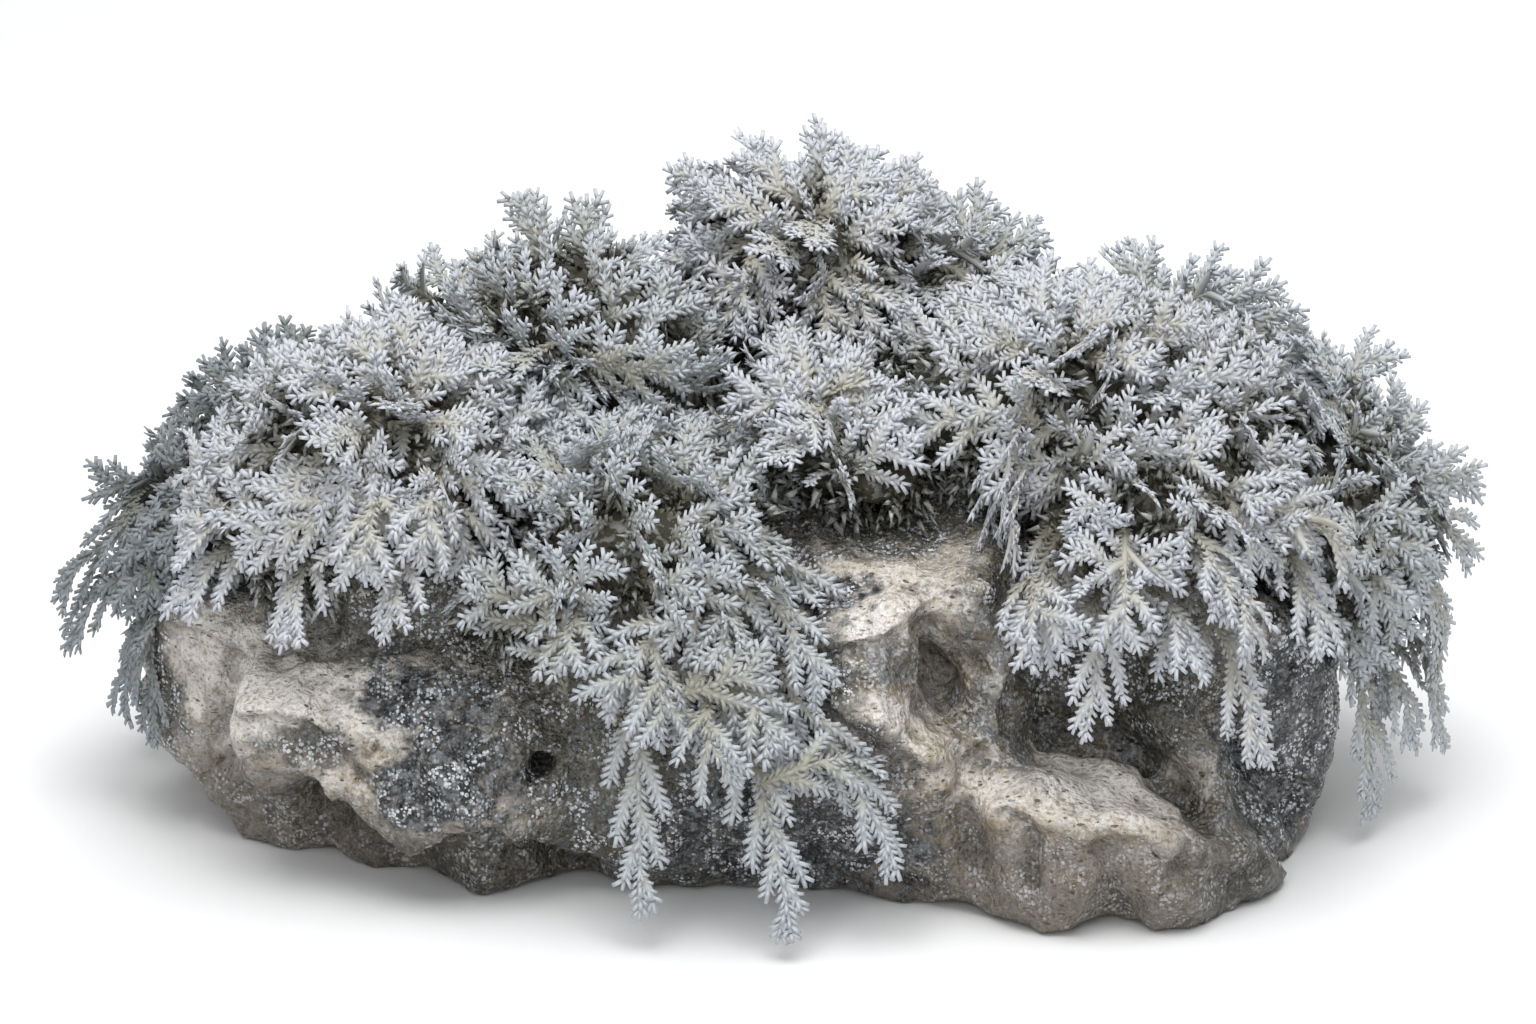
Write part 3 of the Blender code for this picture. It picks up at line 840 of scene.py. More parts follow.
class FoliageTree(GrowthTree):
    """Clothes branch lines with stems and lobes."""

    WILDNESS = 0.16
    NUMBERS = (
        "Lobe gap",
        "Lobed depth",
        "Stem step",
        "Stem flatness",
        "Side spread",
        "Side lift",
        "Back lift",
        "Smallest",
        "Largest",
    )

    def __init__(self) -> None:
        """Build the tree: two rows of lobes to the sides, one on the back, one at the tips."""
        inputs = {"Geometry": ("Lines",), "Object": ("Lobe",), "Float": self.NUMBERS}
        super().__init__("lobed_branches", inputs)
        lines = self.out("GeometryNodeMeshToCurve", {"Mesh": self.take("Lines")})
        self.points = self.resampled(lines, "Lobe gap")
        self.ahead = self.out("GeometryNodeInputTangent")
        self.up = self.attribute("up", "FLOAT_VECTOR")
        self.side = self.vector("CROSS_PRODUCT", self.up, self.ahead)
        index = self.out("GeometryNodeInputIndex")
        shallow = self.math("LESS_THAN", self.attribute("depth"), self.take("Lobed depth"))
        odd = self.math("MODULO", index, 2.0)
        fourth = self.math("COMPARE", self.math("MODULO", index, 4.0), 1.0, 0.1)
        last = self.out("GeometryNodeCurveEndpointSelection", {"Start Size": 0, "End Size": 1})
        spread = self.take("Side spread")
        lift = self.take("Side lift")
        rows = [
            self.row(shallow * odd, spread, lift, 1),
            self.row(shallow * (1.0 - odd), spread * -1.0, lift, 2),
            self.row(shallow * fourth, 0.0, self.take("Back lift"), 3),
            self.row(last, 0.0, 0.0, 4),
        ]
        self.end(self.join([*rows, self.stems(lines)]), smooth=True)

    def resampled(self, lines: Wire, gap: str) -> Wire:
        """Put points on the lines at even gaps, whose length is an input."""
        inputs = {"Curve": lines, "Length": self.take(gap)}
        return self.out("GeometryNodeResampleCurve", inputs, mode="LENGTH")

    def row(self, chosen: Wire, sideways: object, lift: object, number: int) -> Wire:
        """Set one row of lobes along the branches.

        Args:
            chosen: Which points carry a lobe.
            sideways: How much the lobes lean to the side, against 1 along the branch.
            lift: How much they lean outwards.
            number: The row's number, which changes its random sizes.

        Returns:
            The row's instances.
        """
        seed = self.take("Seed") + float(number)
        lean = self.vector("ADD", self.scaled(self.side, sideways), self.scaled(self.up, lift))
        lean = self.vector("ADD", lean, self.random_vector(self.WILDNESS, seed))
        way = self.vector("ADD", self.ahead, lean)
        return self.copies("Lobe", self.points, way, self.up, seed, chosen)

    def stems(self, lines: Wire) -> Wire:
        """Make the tapered stems, flat diamonds that lie in the plane of their spray.

        Args:
            lines: The branch lines.

        Returns:
            The stems' mesh.
        """
        turned = {"Curve": self.resampled(lines, "Stem step"), "Normal": self.up}
        ring = self.out("GeometryNodeCurvePrimitiveCircle", {"Resolution": 4, "Radius": 1.0})
        flat = self.out("ShaderNodeCombineXYZ", {"X": self.take("Stem flatness"), "Y": 1.0, "Z": 1.0})
        tube = {
            "Curve": self.out("GeometryNodeSetCurveNormal", turned, mode="FREE"),
            "Profile Curve": self.out("GeometryNodeTransform", {"Geometry": ring, "Scale": flat}),
            "Scale": self.attribute("girth"),
            "Fill Caps": True,
        }
        return self.out("GeometryNodeCurveToMesh", tube)


class ScatterTree(GrowthTree):
    """Scatters small pieces over a surface."""

    def __init__(self) -> None:
        """Build the tree."""
        super().__init__(
            "scattered_pieces",
            {
                "Geometry": ("Surface",),
                "Object": ("Piece",),
                "Float": ("Gap", "Density", "Lift", "Lean", "Hang", "Smallest", "Largest"),
                "String": ("Where",),
                "Bool": ("Keep surface",),
            },
        )
        seed = self.take("Seed")
        spots = {
            "Mesh": self.take("Surface"),
            "Distance Min": self.take("Gap"),
            "Density Max": self.take("Density"),
            "Density Factor": self.attribute(self.take("Where")),
            "Seed": seed,
        }
        points = self.out("GeometryNodeDistributePointsOnFaces", spots, distribute_method="POISSON")
        normal = Wire(self, points.socket.node.outputs["Normal"])
        tones = {"Geometry": points, "Name": "tone", "Value": self.random_number(-1.0, 1.0, seed)}
        marked = self.out("GeometryNodeStoreNamedAttribute", tones, data_type="FLOAT", domain="POINT")
        lean = self.scaled(self.random_vector(1.0, seed), self.take("Lean"))
        hang = self.scaled((0.0, 0.0, -1.0), self.take("Hang"))
        lift = self.scaled(normal, self.take("Lift"))
        way = self.vector("ADD", lift, self.vector("ADD", lean, hang))
        pieces = self.copies("Piece", marked, way, normal, seed)
        kept = {"Switch": self.take("Keep surface"), "True": self.take("Surface")}
        self.end(self.join([self.out("GeometryNodeSwitch", kept, input_type="GEOMETRY"), pieces]))


class WeatheringTree(GrowthTree):
    """Weathers the stone's skin with swells, scoops, dents and grain."""

    SEED_SHIFT = (0.31, 0.17, 0.23)
    BEND = 6.0 * MM
    BENDS_PER_METRE = 60.0
    SWELL = 1.9 * MM
    SCOOP = 2.3 * MM
    DENT = 0.9 * MM
    GRAIN = 0.8 * MM
    MEAN_HEIGHT = 0.8 * MM

    def __init__(self) -> None:
        """Build the tree."""
        super().__init__("weathering", {"Geometry": ("Skin",)})
        shift = self.scaled(self.SEED_SHIFT, self.take("Seed"))
        place = self.vector("ADD", self.out("GeometryNodeInputPosition"), shift)
        wander = {"Vector": place, "Scale": self.BENDS_PER_METRE, "Detail": 2.0}
        wander = self.scaled(self.out("ShaderNodeTexNoise", wander, "Color"), self.BEND)
        bent = self.vector("ADD", place, wander)
        swells = self.noise(place, 9 * MM, 4.0) - 0.5
        scoops = self.math("POWER", self.cells(bent, 8 * MM), 2.0)
        dents = self.math("POWER", self.cells(bent, 3.2 * MM), 2.0)
        grain = self.noise(place, 1.5 * MM, 3.0) - 0.5
        height = swells * self.SWELL + scoops * self.SCOOP + dents * self.DENT + grain * self.GRAIN
        offset = self.scaled(self.out("GeometryNodeInputNormal"), height - self.MEAN_HEIGHT)
        self.end(self.out("GeometryNodeSetPosition", {"Geometry": self.take("Skin"), "Offset": offset}))


class Tint(Enum):
    """What a painted patch of the stone holds."""

    CHARCOAL = "charcoal"
    OCHRE = "ochre"
    GREY = "grey"
    STREAKED = "streaked"
    # Painted light: the tops of the step, the ledges and the plateau, painted lighter.
    BLEACHED = "bleached"
    CRUST = "crust"


def speckle_group() -> Group:
    """Build the shared effect of small grains and specks.

    Returns:
        A group that turns coordinates, a size and a share into a mask of specks.
    """
    inputs = {"Vector": ("Coordinates",), "Float": ("Size", "Radius")}
    group = Group("speckle", "ShaderNodeTree", inputs, "Float")
    size = group.take("Size")
    place = group.take("Coordinates")
    scale = group.math("DIVIDE", 1.0, size)
    wander = group.out("ShaderNodeTexNoise", {"Vector": place, "Detail": 1.0, "Scale": scale * 1.3}, "Color")
    place = group.vector("ADD", place, group.scaled(wander, size * 0.5))
    cells = group.out("ShaderNodeTexVoronoi", {"Vector": place, "Scale": scale})
    colour = Wire(group, cells.socket.node.outputs["Color"])
    own = group.out("ShaderNodeSeparateColor", {"Color": colour})
    group.give(group.math("LESS_THAN", cells, group.take("Radius") * own))
    return group


def specks(graph: Graph, speckle: Group, place: Wire, size: float, radius: float) -> Wire:
    """Place the speckle group with its own size."""
    inputs = {"Coordinates": place, "Size": size, "Radius": radius}
    return graph.out("ShaderNodeGroup", inputs, node_tree=speckle.tree)


@dataclass(frozen=True)
class StoneFinish:
    """Cream marble, granular and wet-looking, with grey, ochre and charcoal parts."""

    cream: Colour = srgb(208, 199, 184)
    pale: Colour = srgb(214, 207, 199)
    # Painted light for the lit tops.
    bleached: Colour = srgb(238, 231, 222)
    sand: Colour = srgb(150, 137, 116)
    ochre: Colour = srgb(188, 168, 132)
    slate: Colour = srgb(108, 112, 114)
    umber: Colour = srgb(106, 97, 78)
    # Painted shade for the hollows.
    shade: Colour = srgb(88, 80, 68)
    charcoal: Colour = srgb(31, 34, 36)
    # Painted highlight: the colour of the glints.
    painted_glint: Colour = srgb(222, 225, 229)
    damp: Colour = srgb(66, 62, 45)
    moist: Colour = srgb(78, 80, 78)
    fleck: Colour = srgb(104, 84, 56)
    speck: Colour = srgb(50, 40, 28)
    grain: Colour = srgb(232, 228, 222)
    streak: Colour = srgb(118, 108, 96)
    # Painted shade for steep and overhanging faces and for the foot.
    steep: Colour = srgb(112, 105, 93)

    marbling: Cloud = Cloud(14, 0.4, 0.6)
    blotches: Cloud = Cloud(3, 0.48, 0.7, 5.0)
    streaks: Cloud = Cloud(1.4, 0.5, 0.66, 5.0)
    drabness: Cloud = Cloud(1.8, 0.42, 0.58, 5.0)
    moisture: Cloud = Cloud(1.6, 0.42, 0.6, 4.0)
    charcoal_cover: Cloud = Cloud(1.4, 0.28, 0.42, 4.0)
    mottling: Cloud = Cloud(0.8, 0.47, 0.64, 4.0)
    # Where the painted glints gather.
    glint_clusters: Cloud = Cloud(2.4, 0.42, 0.6)
    # Painted highlights: a fine haze of glints.
    painted_glint_haze: Cloud = Cloud(0.35, 0.52, 0.66, 2.0)
    crystal: float = 0.42 * MM
    # Painted shade: from the first height down to the second, the stone darkens towards its foot.
    foot: tuple[float, float] = (19 * MM, 9 * MM)

    def make(self, speckle: Group) -> bpy.types.Material:
        """Build the stone's material.

        Args:
            speckle: The shared speckle group.

        Returns:
            The material, which reads the painted patches of the stone's mesh.
        """
        graph = MaterialGraph("weathered_stone")
        edges = graph.noise(graph.place, 1.3 * MM, 4.0) * 1.6 - 0.3 + graph.noise(graph.place, 5 * MM, 4.0)
        sugar = graph.noise(graph.place, self.crystal, 3.0)
        crust = self.broken(graph, Tint.CRUST, edges, 1.05, 1.75)
        charcoal = self.broken(graph, Tint.CHARCOAL, edges, 1.3, 1.75) * graph.cloud(self.charcoal_cover)
        dark = graph.math("MAXIMUM", charcoal, crust)
        # The marble with painted shade in its hollows, on its steep faces and at its foot.
        colour = self.paint_shade(graph, self.marble(graph, edges, sugar))
        wet = graph.blend(graph.cloud(self.moisture), self.damp, self.moist)
        colour = graph.blend(crust * 0.9, colour, wet)
        mottled = graph.blend(graph.cloud(self.mottling), self.charcoal, self.slate)
        colour = self.flecked(graph, speckle, graph.blend(charcoal, colour, mottled))
        # Painted highlights: pale glints in the colour, strongest on the dark parts.
        colour = self.paint_glints(graph, speckle, colour, graph.math("MAXIMUM", dark, 0.4))
        gloss = {"Value": graph.noise(graph.place, 0.9 * MM), "From Min": 0.35, "From Max": 0.6}
        return graph.shade(
            {
                "Base Color": colour,
                "Roughness": graph.out("ShaderNodeMapRange", {**gloss, "To Min": 0.12, "To Max": 0.5}),
                "Normal": self.sparkling(graph, sugar, dark),
                "Specular IOR Level": 0.65,
                "Coat Weight": 0.2,
                "Coat Roughness": 0.12,
            }
        )

    def marble(self, graph: MaterialGraph, edges: Wire, sugar: Wire) -> Wire:
        """Mix the clean stone's colours, in clouds, in painted patches and in sugary grains.

        Args:
            graph: The material's graph.
            edges: The noise that breaks up the patches.
            sugar: The noise of the grains.

        Returns:
            The colour without what clings to the stone.
        """
        colour = graph.blend(graph.cloud(self.marbling), self.cream, self.pale)
        colour = graph.blend(graph.cloud(self.blotches) * 0.35, colour, self.sand)
        colour = graph.blend(self.broken(graph, Tint.OCHRE, edges, 1.0, 1.9), colour, self.ochre)
        flow = graph.out("ShaderNodeMapping", {"Vector": graph.place, "Scale": (0.35, 1.0, 1.8)})
        streaks = graph.cloud(self.streaks, flow) * (graph.read(Tint.STREAKED.value) + 0.2)
        colour = graph.blend(streaks * 0.7, colour, self.streak)
        drab = graph.blend(graph.cloud(self.drabness), self.slate, self.umber)
        colour = graph.blend(self.broken(graph, Tint.GREY, edges, 0.95, 1.75), colour, drab)
        # Painted light on the tops of the step, the ledges and the plateau.
        colour = graph.blend(self.broken(graph, Tint.BLEACHED, edges, 0.9, 1.6), colour, self.bleached)
        colour = graph.blend(graph.ease(sugar, 0.5, 0.66) * 0.5, colour, self.grain)
        return graph.blend(graph.ease(sugar, 0.48, 0.32) * 0.6, colour, self.sand)

    def paint_shade(self, graph: MaterialGraph, colour: Wire) -> Wire:
        """Paint shade into the stone's colour: darker in the hollows, on steep and overhanging faces and
        towards the foot.

        Args:
            graph: The material's graph.
            colour: The colour in the light.

        Returns:
            The darkened colour.
        """
        # Painted shade in the hollows.
        colour = graph.blend(graph.ease(graph.read("cavity"), 0.3, 1.0) * 0.45, colour, self.shade)
        height = graph.out("ShaderNodeSeparateXYZ", {"Vector": graph.place}, "Z")
        # Painted shade on steep and overhanging faces, and towards the foot.
        steep = graph.ease(graph.read("slope"), 0.35, -0.5) * 0.65
        amount = graph.math("MAXIMUM", graph.ease(height, *self.foot) * 0.85, steep)
        return graph.blend(amount, colour, self.steep, "MULTIPLY")

    def flecked(self, graph: MaterialGraph, speckle: Group, colour: Wire) -> Wire:
        """Put brown flecks and dark specks on the stone, drawn out along one direction.

        Args:
            graph: The material's graph.
            speckle: The shared speckle group.
            colour: The colour without them.

        Returns:
            The colour with them.
        """
        inputs = {"Vector": graph.place, "Rotation": (0.0, 0.7, 0.3), "Scale": (0.5, 1.0, 1.35)}
        drawn_out = graph.out("ShaderNodeMapping", inputs)
        flecks = specks(graph, speckle, drawn_out, 0.72 * MM, 0.42)
        colour = graph.blend(flecks * 0.5, colour, self.fleck)
        return graph.blend(specks(graph, speckle, drawn_out, 1.2 * MM, 0.27) * 0.85, colour, self.speck)

    def paint_glints(self, graph: MaterialGraph, speckle: Group, colour: Wire, strength: Wire) -> Wire:
        """Paint clusters of pale glints into the stone's colour: painted highlights.

        Args:
            graph: The material's graph.
            speckle: The shared speckle group.
            colour: The colour without glints.
            strength: How strong the glints are.

        Returns:
            The colour with the glints.
        """
        glints = specks(graph, speckle, graph.place, 0.55 * MM, 0.62)
        share = graph.math("MAXIMUM", glints, graph.cloud(self.painted_glint_haze) * 0.35)
        share = share * (graph.cloud(self.glint_clusters) + 0.15)
        return graph.blend(share * strength, colour, self.painted_glint)

    def sparkling(self, graph: MaterialGraph, sugar: Wire, dark: Wire) -> Wire:
        """Bend the normal over the grains, and tilt it at random on every small crystal.

        Args:
            graph: The material's graph.
            sugar: The noise of the grains.
            dark: The dark parts, whose crystals tilt the most.

        Returns:
            The normal.
        """
        normal = graph.bump(graph.noise(graph.place, 2.0 * MM, 5.0) * 2.4 + sugar * 1.3, 1.0)
        crystals = graph.cells(graph.place, self.crystal, "Color")
        tilt = graph.scaled(graph.vector("SUBTRACT", crystals, (0.5, 0.5, 0.5)), dark * 0.5 + 0.4)
        return graph.vector("NORMALIZE", graph.vector("ADD", normal, tilt))

    @staticmethod
    def broken(graph: MaterialGraph, tint: Tint, edges: Wire, low: float, high: float) -> Wire:
        """Break up the rim of a painted tint with noise.

        Args:
            graph: The material's graph.
            tint: The tint.
            edges: The noise, about 1 on average.
            low: The sum of tint and noise where the tint begins.
            high: The sum from which on it is full.

        Returns:
            The tint's share, 0 where none was painted.
        """
        painted = graph.read(tint.value)
        return graph.ease(painted + edges, low, high) * graph.ease(painted, 0.0, 0.25)


@dataclass(frozen=True)
class MossFinish:
    """Silvery lobes that turn beige and then olive towards the old parts, with painted shade deep in the
    tuft.
    """

    name: str
    silver: Colour
    beige: Colour
    olive: Colour
    # Painted shade for lobes that lie deep in the tuft.
    deep: Colour
    drift_size: float = 9 * MM
    youth_pull: float = 0.85
    tip_pull: float = 0.27
    tone_pull: float = 0.06
    drift_pull: float = 0.5
    # Painted shade grows from the first depth to the second.
    shade_depths: tuple[float, float] = (1.0 * MM, 6.0 * MM)

    def make(self) -> bpy.types.Material:
        """Build the moss's material.

        Returns:
            The material, which reads the numbers that the lobes carry.
        """
        graph = MaterialGraph(self.name)
        age = graph.read("age")
        tip = graph.read("tip")
        drift = graph.noise(graph.place, self.drift_size) - 0.5
        young = (1.0 - age) * self.youth_pull + tip * self.tip_pull
        young = young + graph.read("tone") * self.tone_pull + drift * self.drift_pull
        colour = graph.blend(graph.ease(young, 0.35, 1.1), self.beige, self.silver)
        colour = graph.blend(graph.ease(age - tip * 0.35, 0.6, 1.05), colour, self.olive)
        # Painted shade: the deeper a lobe lies in its tuft, the darker it is, its tip a little less.
        sunk = graph.ease(graph.read("depth") - tip * (0.6 * MM), *self.shade_depths)
        colour = graph.blend(sunk, colour, self.deep)
        looks = {"Roughness": 0.72, "Specular IOR Level": 0.25, "Sheen Weight": 0.2}
        return graph.shade({"Base Color": colour, **looks})


class Coat(Enum):
    """The same moss painted in three lights, lit, half shaded and shaded, from the brightest to the most
    shaded.
    """

    # Painted light: the lit copy of the moss, for the front tufts.
    SILVER = MossFinish(
        "silver_moss", srgb(207, 210, 217), srgb(184, 181, 169), srgb(138, 134, 116), srgb(92, 87, 68)
    )
    # Painted shade: the half-shaded copy of the moss, for the tufts further back.
    GREY = MossFinish(
        "grey_moss", srgb(196, 201, 207), srgb(170, 168, 156), srgb(132, 129, 112), srgb(88, 84, 66)
    )
    # Painted shade: the shaded copy of the moss, for the darkest tuft.
    DUSKY = MossFinish(
        "dusky_moss", srgb(148, 154, 159), srgb(112, 112, 103), srgb(84, 82, 70), srgb(46, 44, 34)
    )


@dataclass(frozen=True)
class ThatchFinish:
    """The matted old growth under the sprays, light at its tips; its dark colour is partly painted shade in
    the gaps between sprays.
    """

    # Partly the old growth's own colour, partly painted shade between the sprays.
    dark: Colour = srgb(58, 55, 42)
    light: Colour = srgb(182, 184, 180)
    leaves: Cloud = Cloud(0.7, 0.44, 0.58, 2.0)

    def make(self) -> bpy.types.Material:
        """Build the thatch's material.

        Returns:
            The material.
        """
        # The thatch's darkness is partly painted shade.
        graph = MaterialGraph("dark_thatch")
        light = graph.read("tip") * 0.9 + graph.noise(graph.place, 2.5 * MM, 3.0)
        light = light + graph.cloud(self.leaves) * 0.4
        colour = graph.blend(graph.ease(light, 0.6, 1.55), self.dark, self.light)
        normal = graph.bump(graph.noise(graph.place, 0.6 * MM, 3.0), 0.9)
        return graph.shade({"Base Color": colour, "Normal": normal, "Roughness": 0.85})


@dataclass(frozen=True)
class CrustFinish:
    """Sparkling grains of lime and soil that cling to the stone beside the moss; the palest grains are partly
    painted glints.
    """

    soil: Colour = srgb(74, 69, 52)
    slate: Colour = srgb(104, 108, 110)
    # Partly lime, partly painted glints.
    lime_and_glint: Colour = srgb(205, 208, 212)

    def make(self) -> bpy.types.Material:
        """Build the grains' material.

        Returns:
            The material.
        """
        graph = MaterialGraph("sparkling_crust")
        tone = graph.read("tone")
        colour = graph.blend(graph.ease(tone, -0.4, 0.1), self.soil, self.slate)
        # The palest grains: lime and painted glints.
        colour = graph.blend(graph.ease(tone, 0.62, 1.0), colour, self.lime_and_glint)
        return graph.shade({"Base Color": colour, "Roughness": 0.2, "Specular IOR Level": 0.8})


@dataclass(frozen=True)
class Patch:
    """A soft round patch of one tint on the stone, in millimetres."""

    centre: Point
    radii: Point
    strength: float = 1.0


STONE_PATCHES = {
    Tint.CHARCOAL: (
        Patch((-47, -38, 29), (11, 14, 4)),
        Patch((-44, -40, 19), (10, 12, 7)),
        Patch((9, -34, 43), (7, 6, 4), 0.8),
        Patch((6, -42, 29), (4, 8, 5), 0.7),
        Patch((72, -20, 20), (10, 14, 18), 1.15),
        Patch((2, -40, 9), (20, 12, 10), 1.1),
    ),
    Tint.OCHRE: (
        Patch((-62, -22, 35), (14, 8, 4), 0.7),
        Patch((-53, -38, 20), (4, 6, 9), 0.5),
        Patch((20, -46, 27), (9, 8, 5), 0.6),
        Patch((38, -44, 17), (18, 12, 4), 0.6),
        Patch((20, -46, 16), (10, 8, 8), 0.6),
    ),
    Tint.GREY: (
        Patch((44, -32, 28), (16, 14, 15), 1.2),
        Patch((60, -30, 18), (9, 12, 16), 1.1),
        Patch((-4, -36, 20), (24, 12, 22)),
        Patch((64, -34, 6), (14, 14, 8), 0.7),
        Patch((28, -36, 34), (6, 10, 12), 0.7),
        # Painted shade on the face under the plateau's lip.
        Patch((12, -44, 36), (13, 8, 3.5), 1.2),
        Patch((6, -44, 33), (6, 8, 5), 0.7),
        Patch((-60, -30, 8), (22, 14, 7), 0.6),
        Patch((-36, -34, 5), (18, 14, 7)),
    ),
    Tint.STREAKED: (
        Patch((12, -30, 45), (22, 20, 7)),
        Patch((58, -36, 12), (14, 12, 8), 0.6),
    ),
    # Painted light on the lit tops.
    Tint.BLEACHED: (
        Patch((-65, -31, 30), (17, 13, 5.5), 1.8),
        Patch((-78, -18, 26), (6, 9, 12), 0.4),
        Patch((10, -37, 43), (14, 9, 4), 0.42),
        Patch((44, -39, 18), (15, 9, 3), 0.85),
        Patch((14, -47, 29), (8, 8, 4), 0.6),
    ),
    Tint.CRUST: (
        Patch((-62, -38, 23), (8, 6, 3), 0.8),
        Patch((-43, -24, 41), (25, 14, 9), 1.3),
        Patch((-32, -38, 27), (13, 12, 13), 0.85),
        Patch((14, -18, 50), (16, 8, 5), 1.2),
        Patch((49, -26, 32), (16, 14, 11), 0.8),
        Patch((70, -22, 16), (10, 14, 18), 0.9),
        Patch((-4, -38, 14), (24, 12, 15), 1.1),
    ),
}


class Tool(Enum):
    """How a stroke shapes the stone."""

    LIP = "a crisp edge, with what is on the right of the path sunk under it"
    GROOVE = "a sharp groove along the path"
    RIDGE = "a rounded ridge along the path"
    HOLLOW = "a smooth hollow along the path"
    BORE = "a round hole with steep walls along the path"


@dataclass(frozen=True)
class Stroke:
    """One sculpting stroke on the stone's front, in millimetres."""

    tool: Tool
    path: tuple[Point, ...]
    reach: float
    depth: float
    way: Point = (0, 1, 0)
    rim: float = 1.6
    edge: float = 0.8
    raised: float = 0.22
    squeeze: Point = (1.0, 0.35, 1.0)

    def rounded(self) -> np.ndarray:
        """Round the path's corners.

        Returns:
            The rounded path, one row for each point.
        """
        path = np.array(self.path, dtype=float)
        for _ in range(2):
            first = path[:-1] * 0.75 + path[1:] * 0.25
            second = path[:-1] * 0.25 + path[1:] * 0.75
            middle = np.stack((first, second), axis=1).reshape(-1, 3)
            path = np.vstack((path[:1], middle, path[-1:]))
        return path

    def measure(self, points: np.ndarray) -> tuple[np.ndarray, np.ndarray, np.ndarray]:
        """Measure points against the path, as the viewer of the front sees it.

        Args:
            points: The points, in millimetres.

        Returns:
            Each point's distance, 1 for the right side or -1 for the left, and a fade, 0 at the
            path's ends.
        """
        path = self.rounded() * np.array(self.squeeze)
        points = points * np.array(self.squeeze)
        steps = np.linalg.norm(np.diff(path, axis=0), axis=1)
        passed = np.concatenate(([0], np.cumsum(steps)))
        gaps = np.full(len(points), np.inf)
        sides = np.ones(len(points))
        shares = np.zeros(len(points))
        for index, (start, end) in enumerate(zip(path, path[1:])):
            run = end - start
            offset = points - start
            along = np.clip(offset @ run / max(run @ run, 1e-9), 0, 1)
            gap = np.linalg.norm(offset - along[:, None] * run, axis=1)
            left = run[0] * offset[:, 2] - run[2] * offset[:, 0]
            closer = gap < gaps
            gaps[closer] = gap[closer]
            sides[closer] = np.where(left[closer] > 0, -1.0, 1.0)
            shares[closer] = (passed[index] + along[closer] * steps[index]) / passed[-1]
        fade = np.clip(np.sin(np.pi * np.clip(shares, 0.0, 1.0)) * 2.2, 0, 1)
        return gaps, sides, fade

    def apply(self, points: np.ndarray) -> np.ndarray:
        """Move the points that the stroke reaches.

        Args:
            points: The points, in millimetres.

        Returns:
            The moved points.
        """
        gaps, sides, fade = self.measure(points)
        near = np.clip(1 - gaps / self.reach, 0, 1)
        if self.tool is Tool.LIP:
            onset = np.clip(sides * gaps / self.edge + 0.3, 0, 1)
            rim = np.clip(1 - gaps / self.rim, 0, 1) ** 2
            amount = fade * (onset * near**1.3 - self.raised * rim * (sides < 0))
        elif self.tool is Tool.GROOVE:
            amount = fade * near**1.2
        elif self.tool is Tool.RIDGE:
            amount = -fade * near**2 * (3 - 2 * near)
        elif self.tool is Tool.BORE:
            amount = np.clip(4 * near, 0, 1)
        else:
            amount = near**2 * (3 - 2 * near)
        return points + np.array(self.way) * (self.depth * amount)[:, None]


LEFT_STEP = (
    Stroke(Tool.LIP, ((-84, -12, 34), (-81, -17, 33), (-75, -20, 32), (-70, -24, 29)), 9, 2.5),
    Stroke(
        Tool.GROOVE,
        ((-69, -26, 33), (-73, -22, 27), (-74, -21, 21), (-76, -17, 15), (-79, -14, 9)),
        reach=3.6,
        depth=3.0,
    ),
    Stroke(
        Tool.LIP,
        ((-44, -28, 34), (-53, -30, 33.5), (-60, -28, 32), (-71, -26, 31)),
        reach=8,
        depth=2.4,
        way=(0, 0.3, -1),
    ),
    Stroke(
        Tool.LIP,
        (
            *((-75, -24, 24), (-68, -36, 28), (-62, -37, 27), (-58, -38, 23)),
            *((-54, -39, 21), (-52, -41, 15), (-46, -42, 11)),
        ),
        reach=7,
        depth=2.6,
    ),
    Stroke(
        Tool.LIP,
        (
            *((-80, -14, 8), (-75, -18, 14), (-71, -33, 20), (-66, -37, 20.5)),
            *((-60, -37, 17), (-57, -32, 11), (-56, -24, 4)),
        ),
        reach=12,
        depth=6,
        way=(0, 1, 0.2),
    ),
    Stroke(
        Tool.LIP,
        (
            *((-58, -28, 2), (-51, -33, 4), (-46, -41, 9.5), (-40, -41, 13.5)),
            *((-35, -41, 12), (-30, -37, 7), (-20, -34, 3)),
        ),
        reach=10,
        depth=5,
        way=(0, 1, 0.2),
    ),
    Stroke(Tool.GROOVE, ((-50, -40, 31), (-47, -40, 25), (-48, -41, 20), (-44, -42, 14)), 3.0, 1.4),
    Stroke(Tool.GROOVE, ((-40, -40, 26), (-36, -41, 20), (-37, -42, 14)), 3.5, 1.6),
    Stroke(Tool.RIDGE, ((-44, -40, 24), (-40, -41, 18), (-42, -42, 12)), 4.5, 1.5),
    Stroke(Tool.BORE, ((-31, -44, 19.7), (-31, -35, 19.7)), 2.3, 8.0),
)

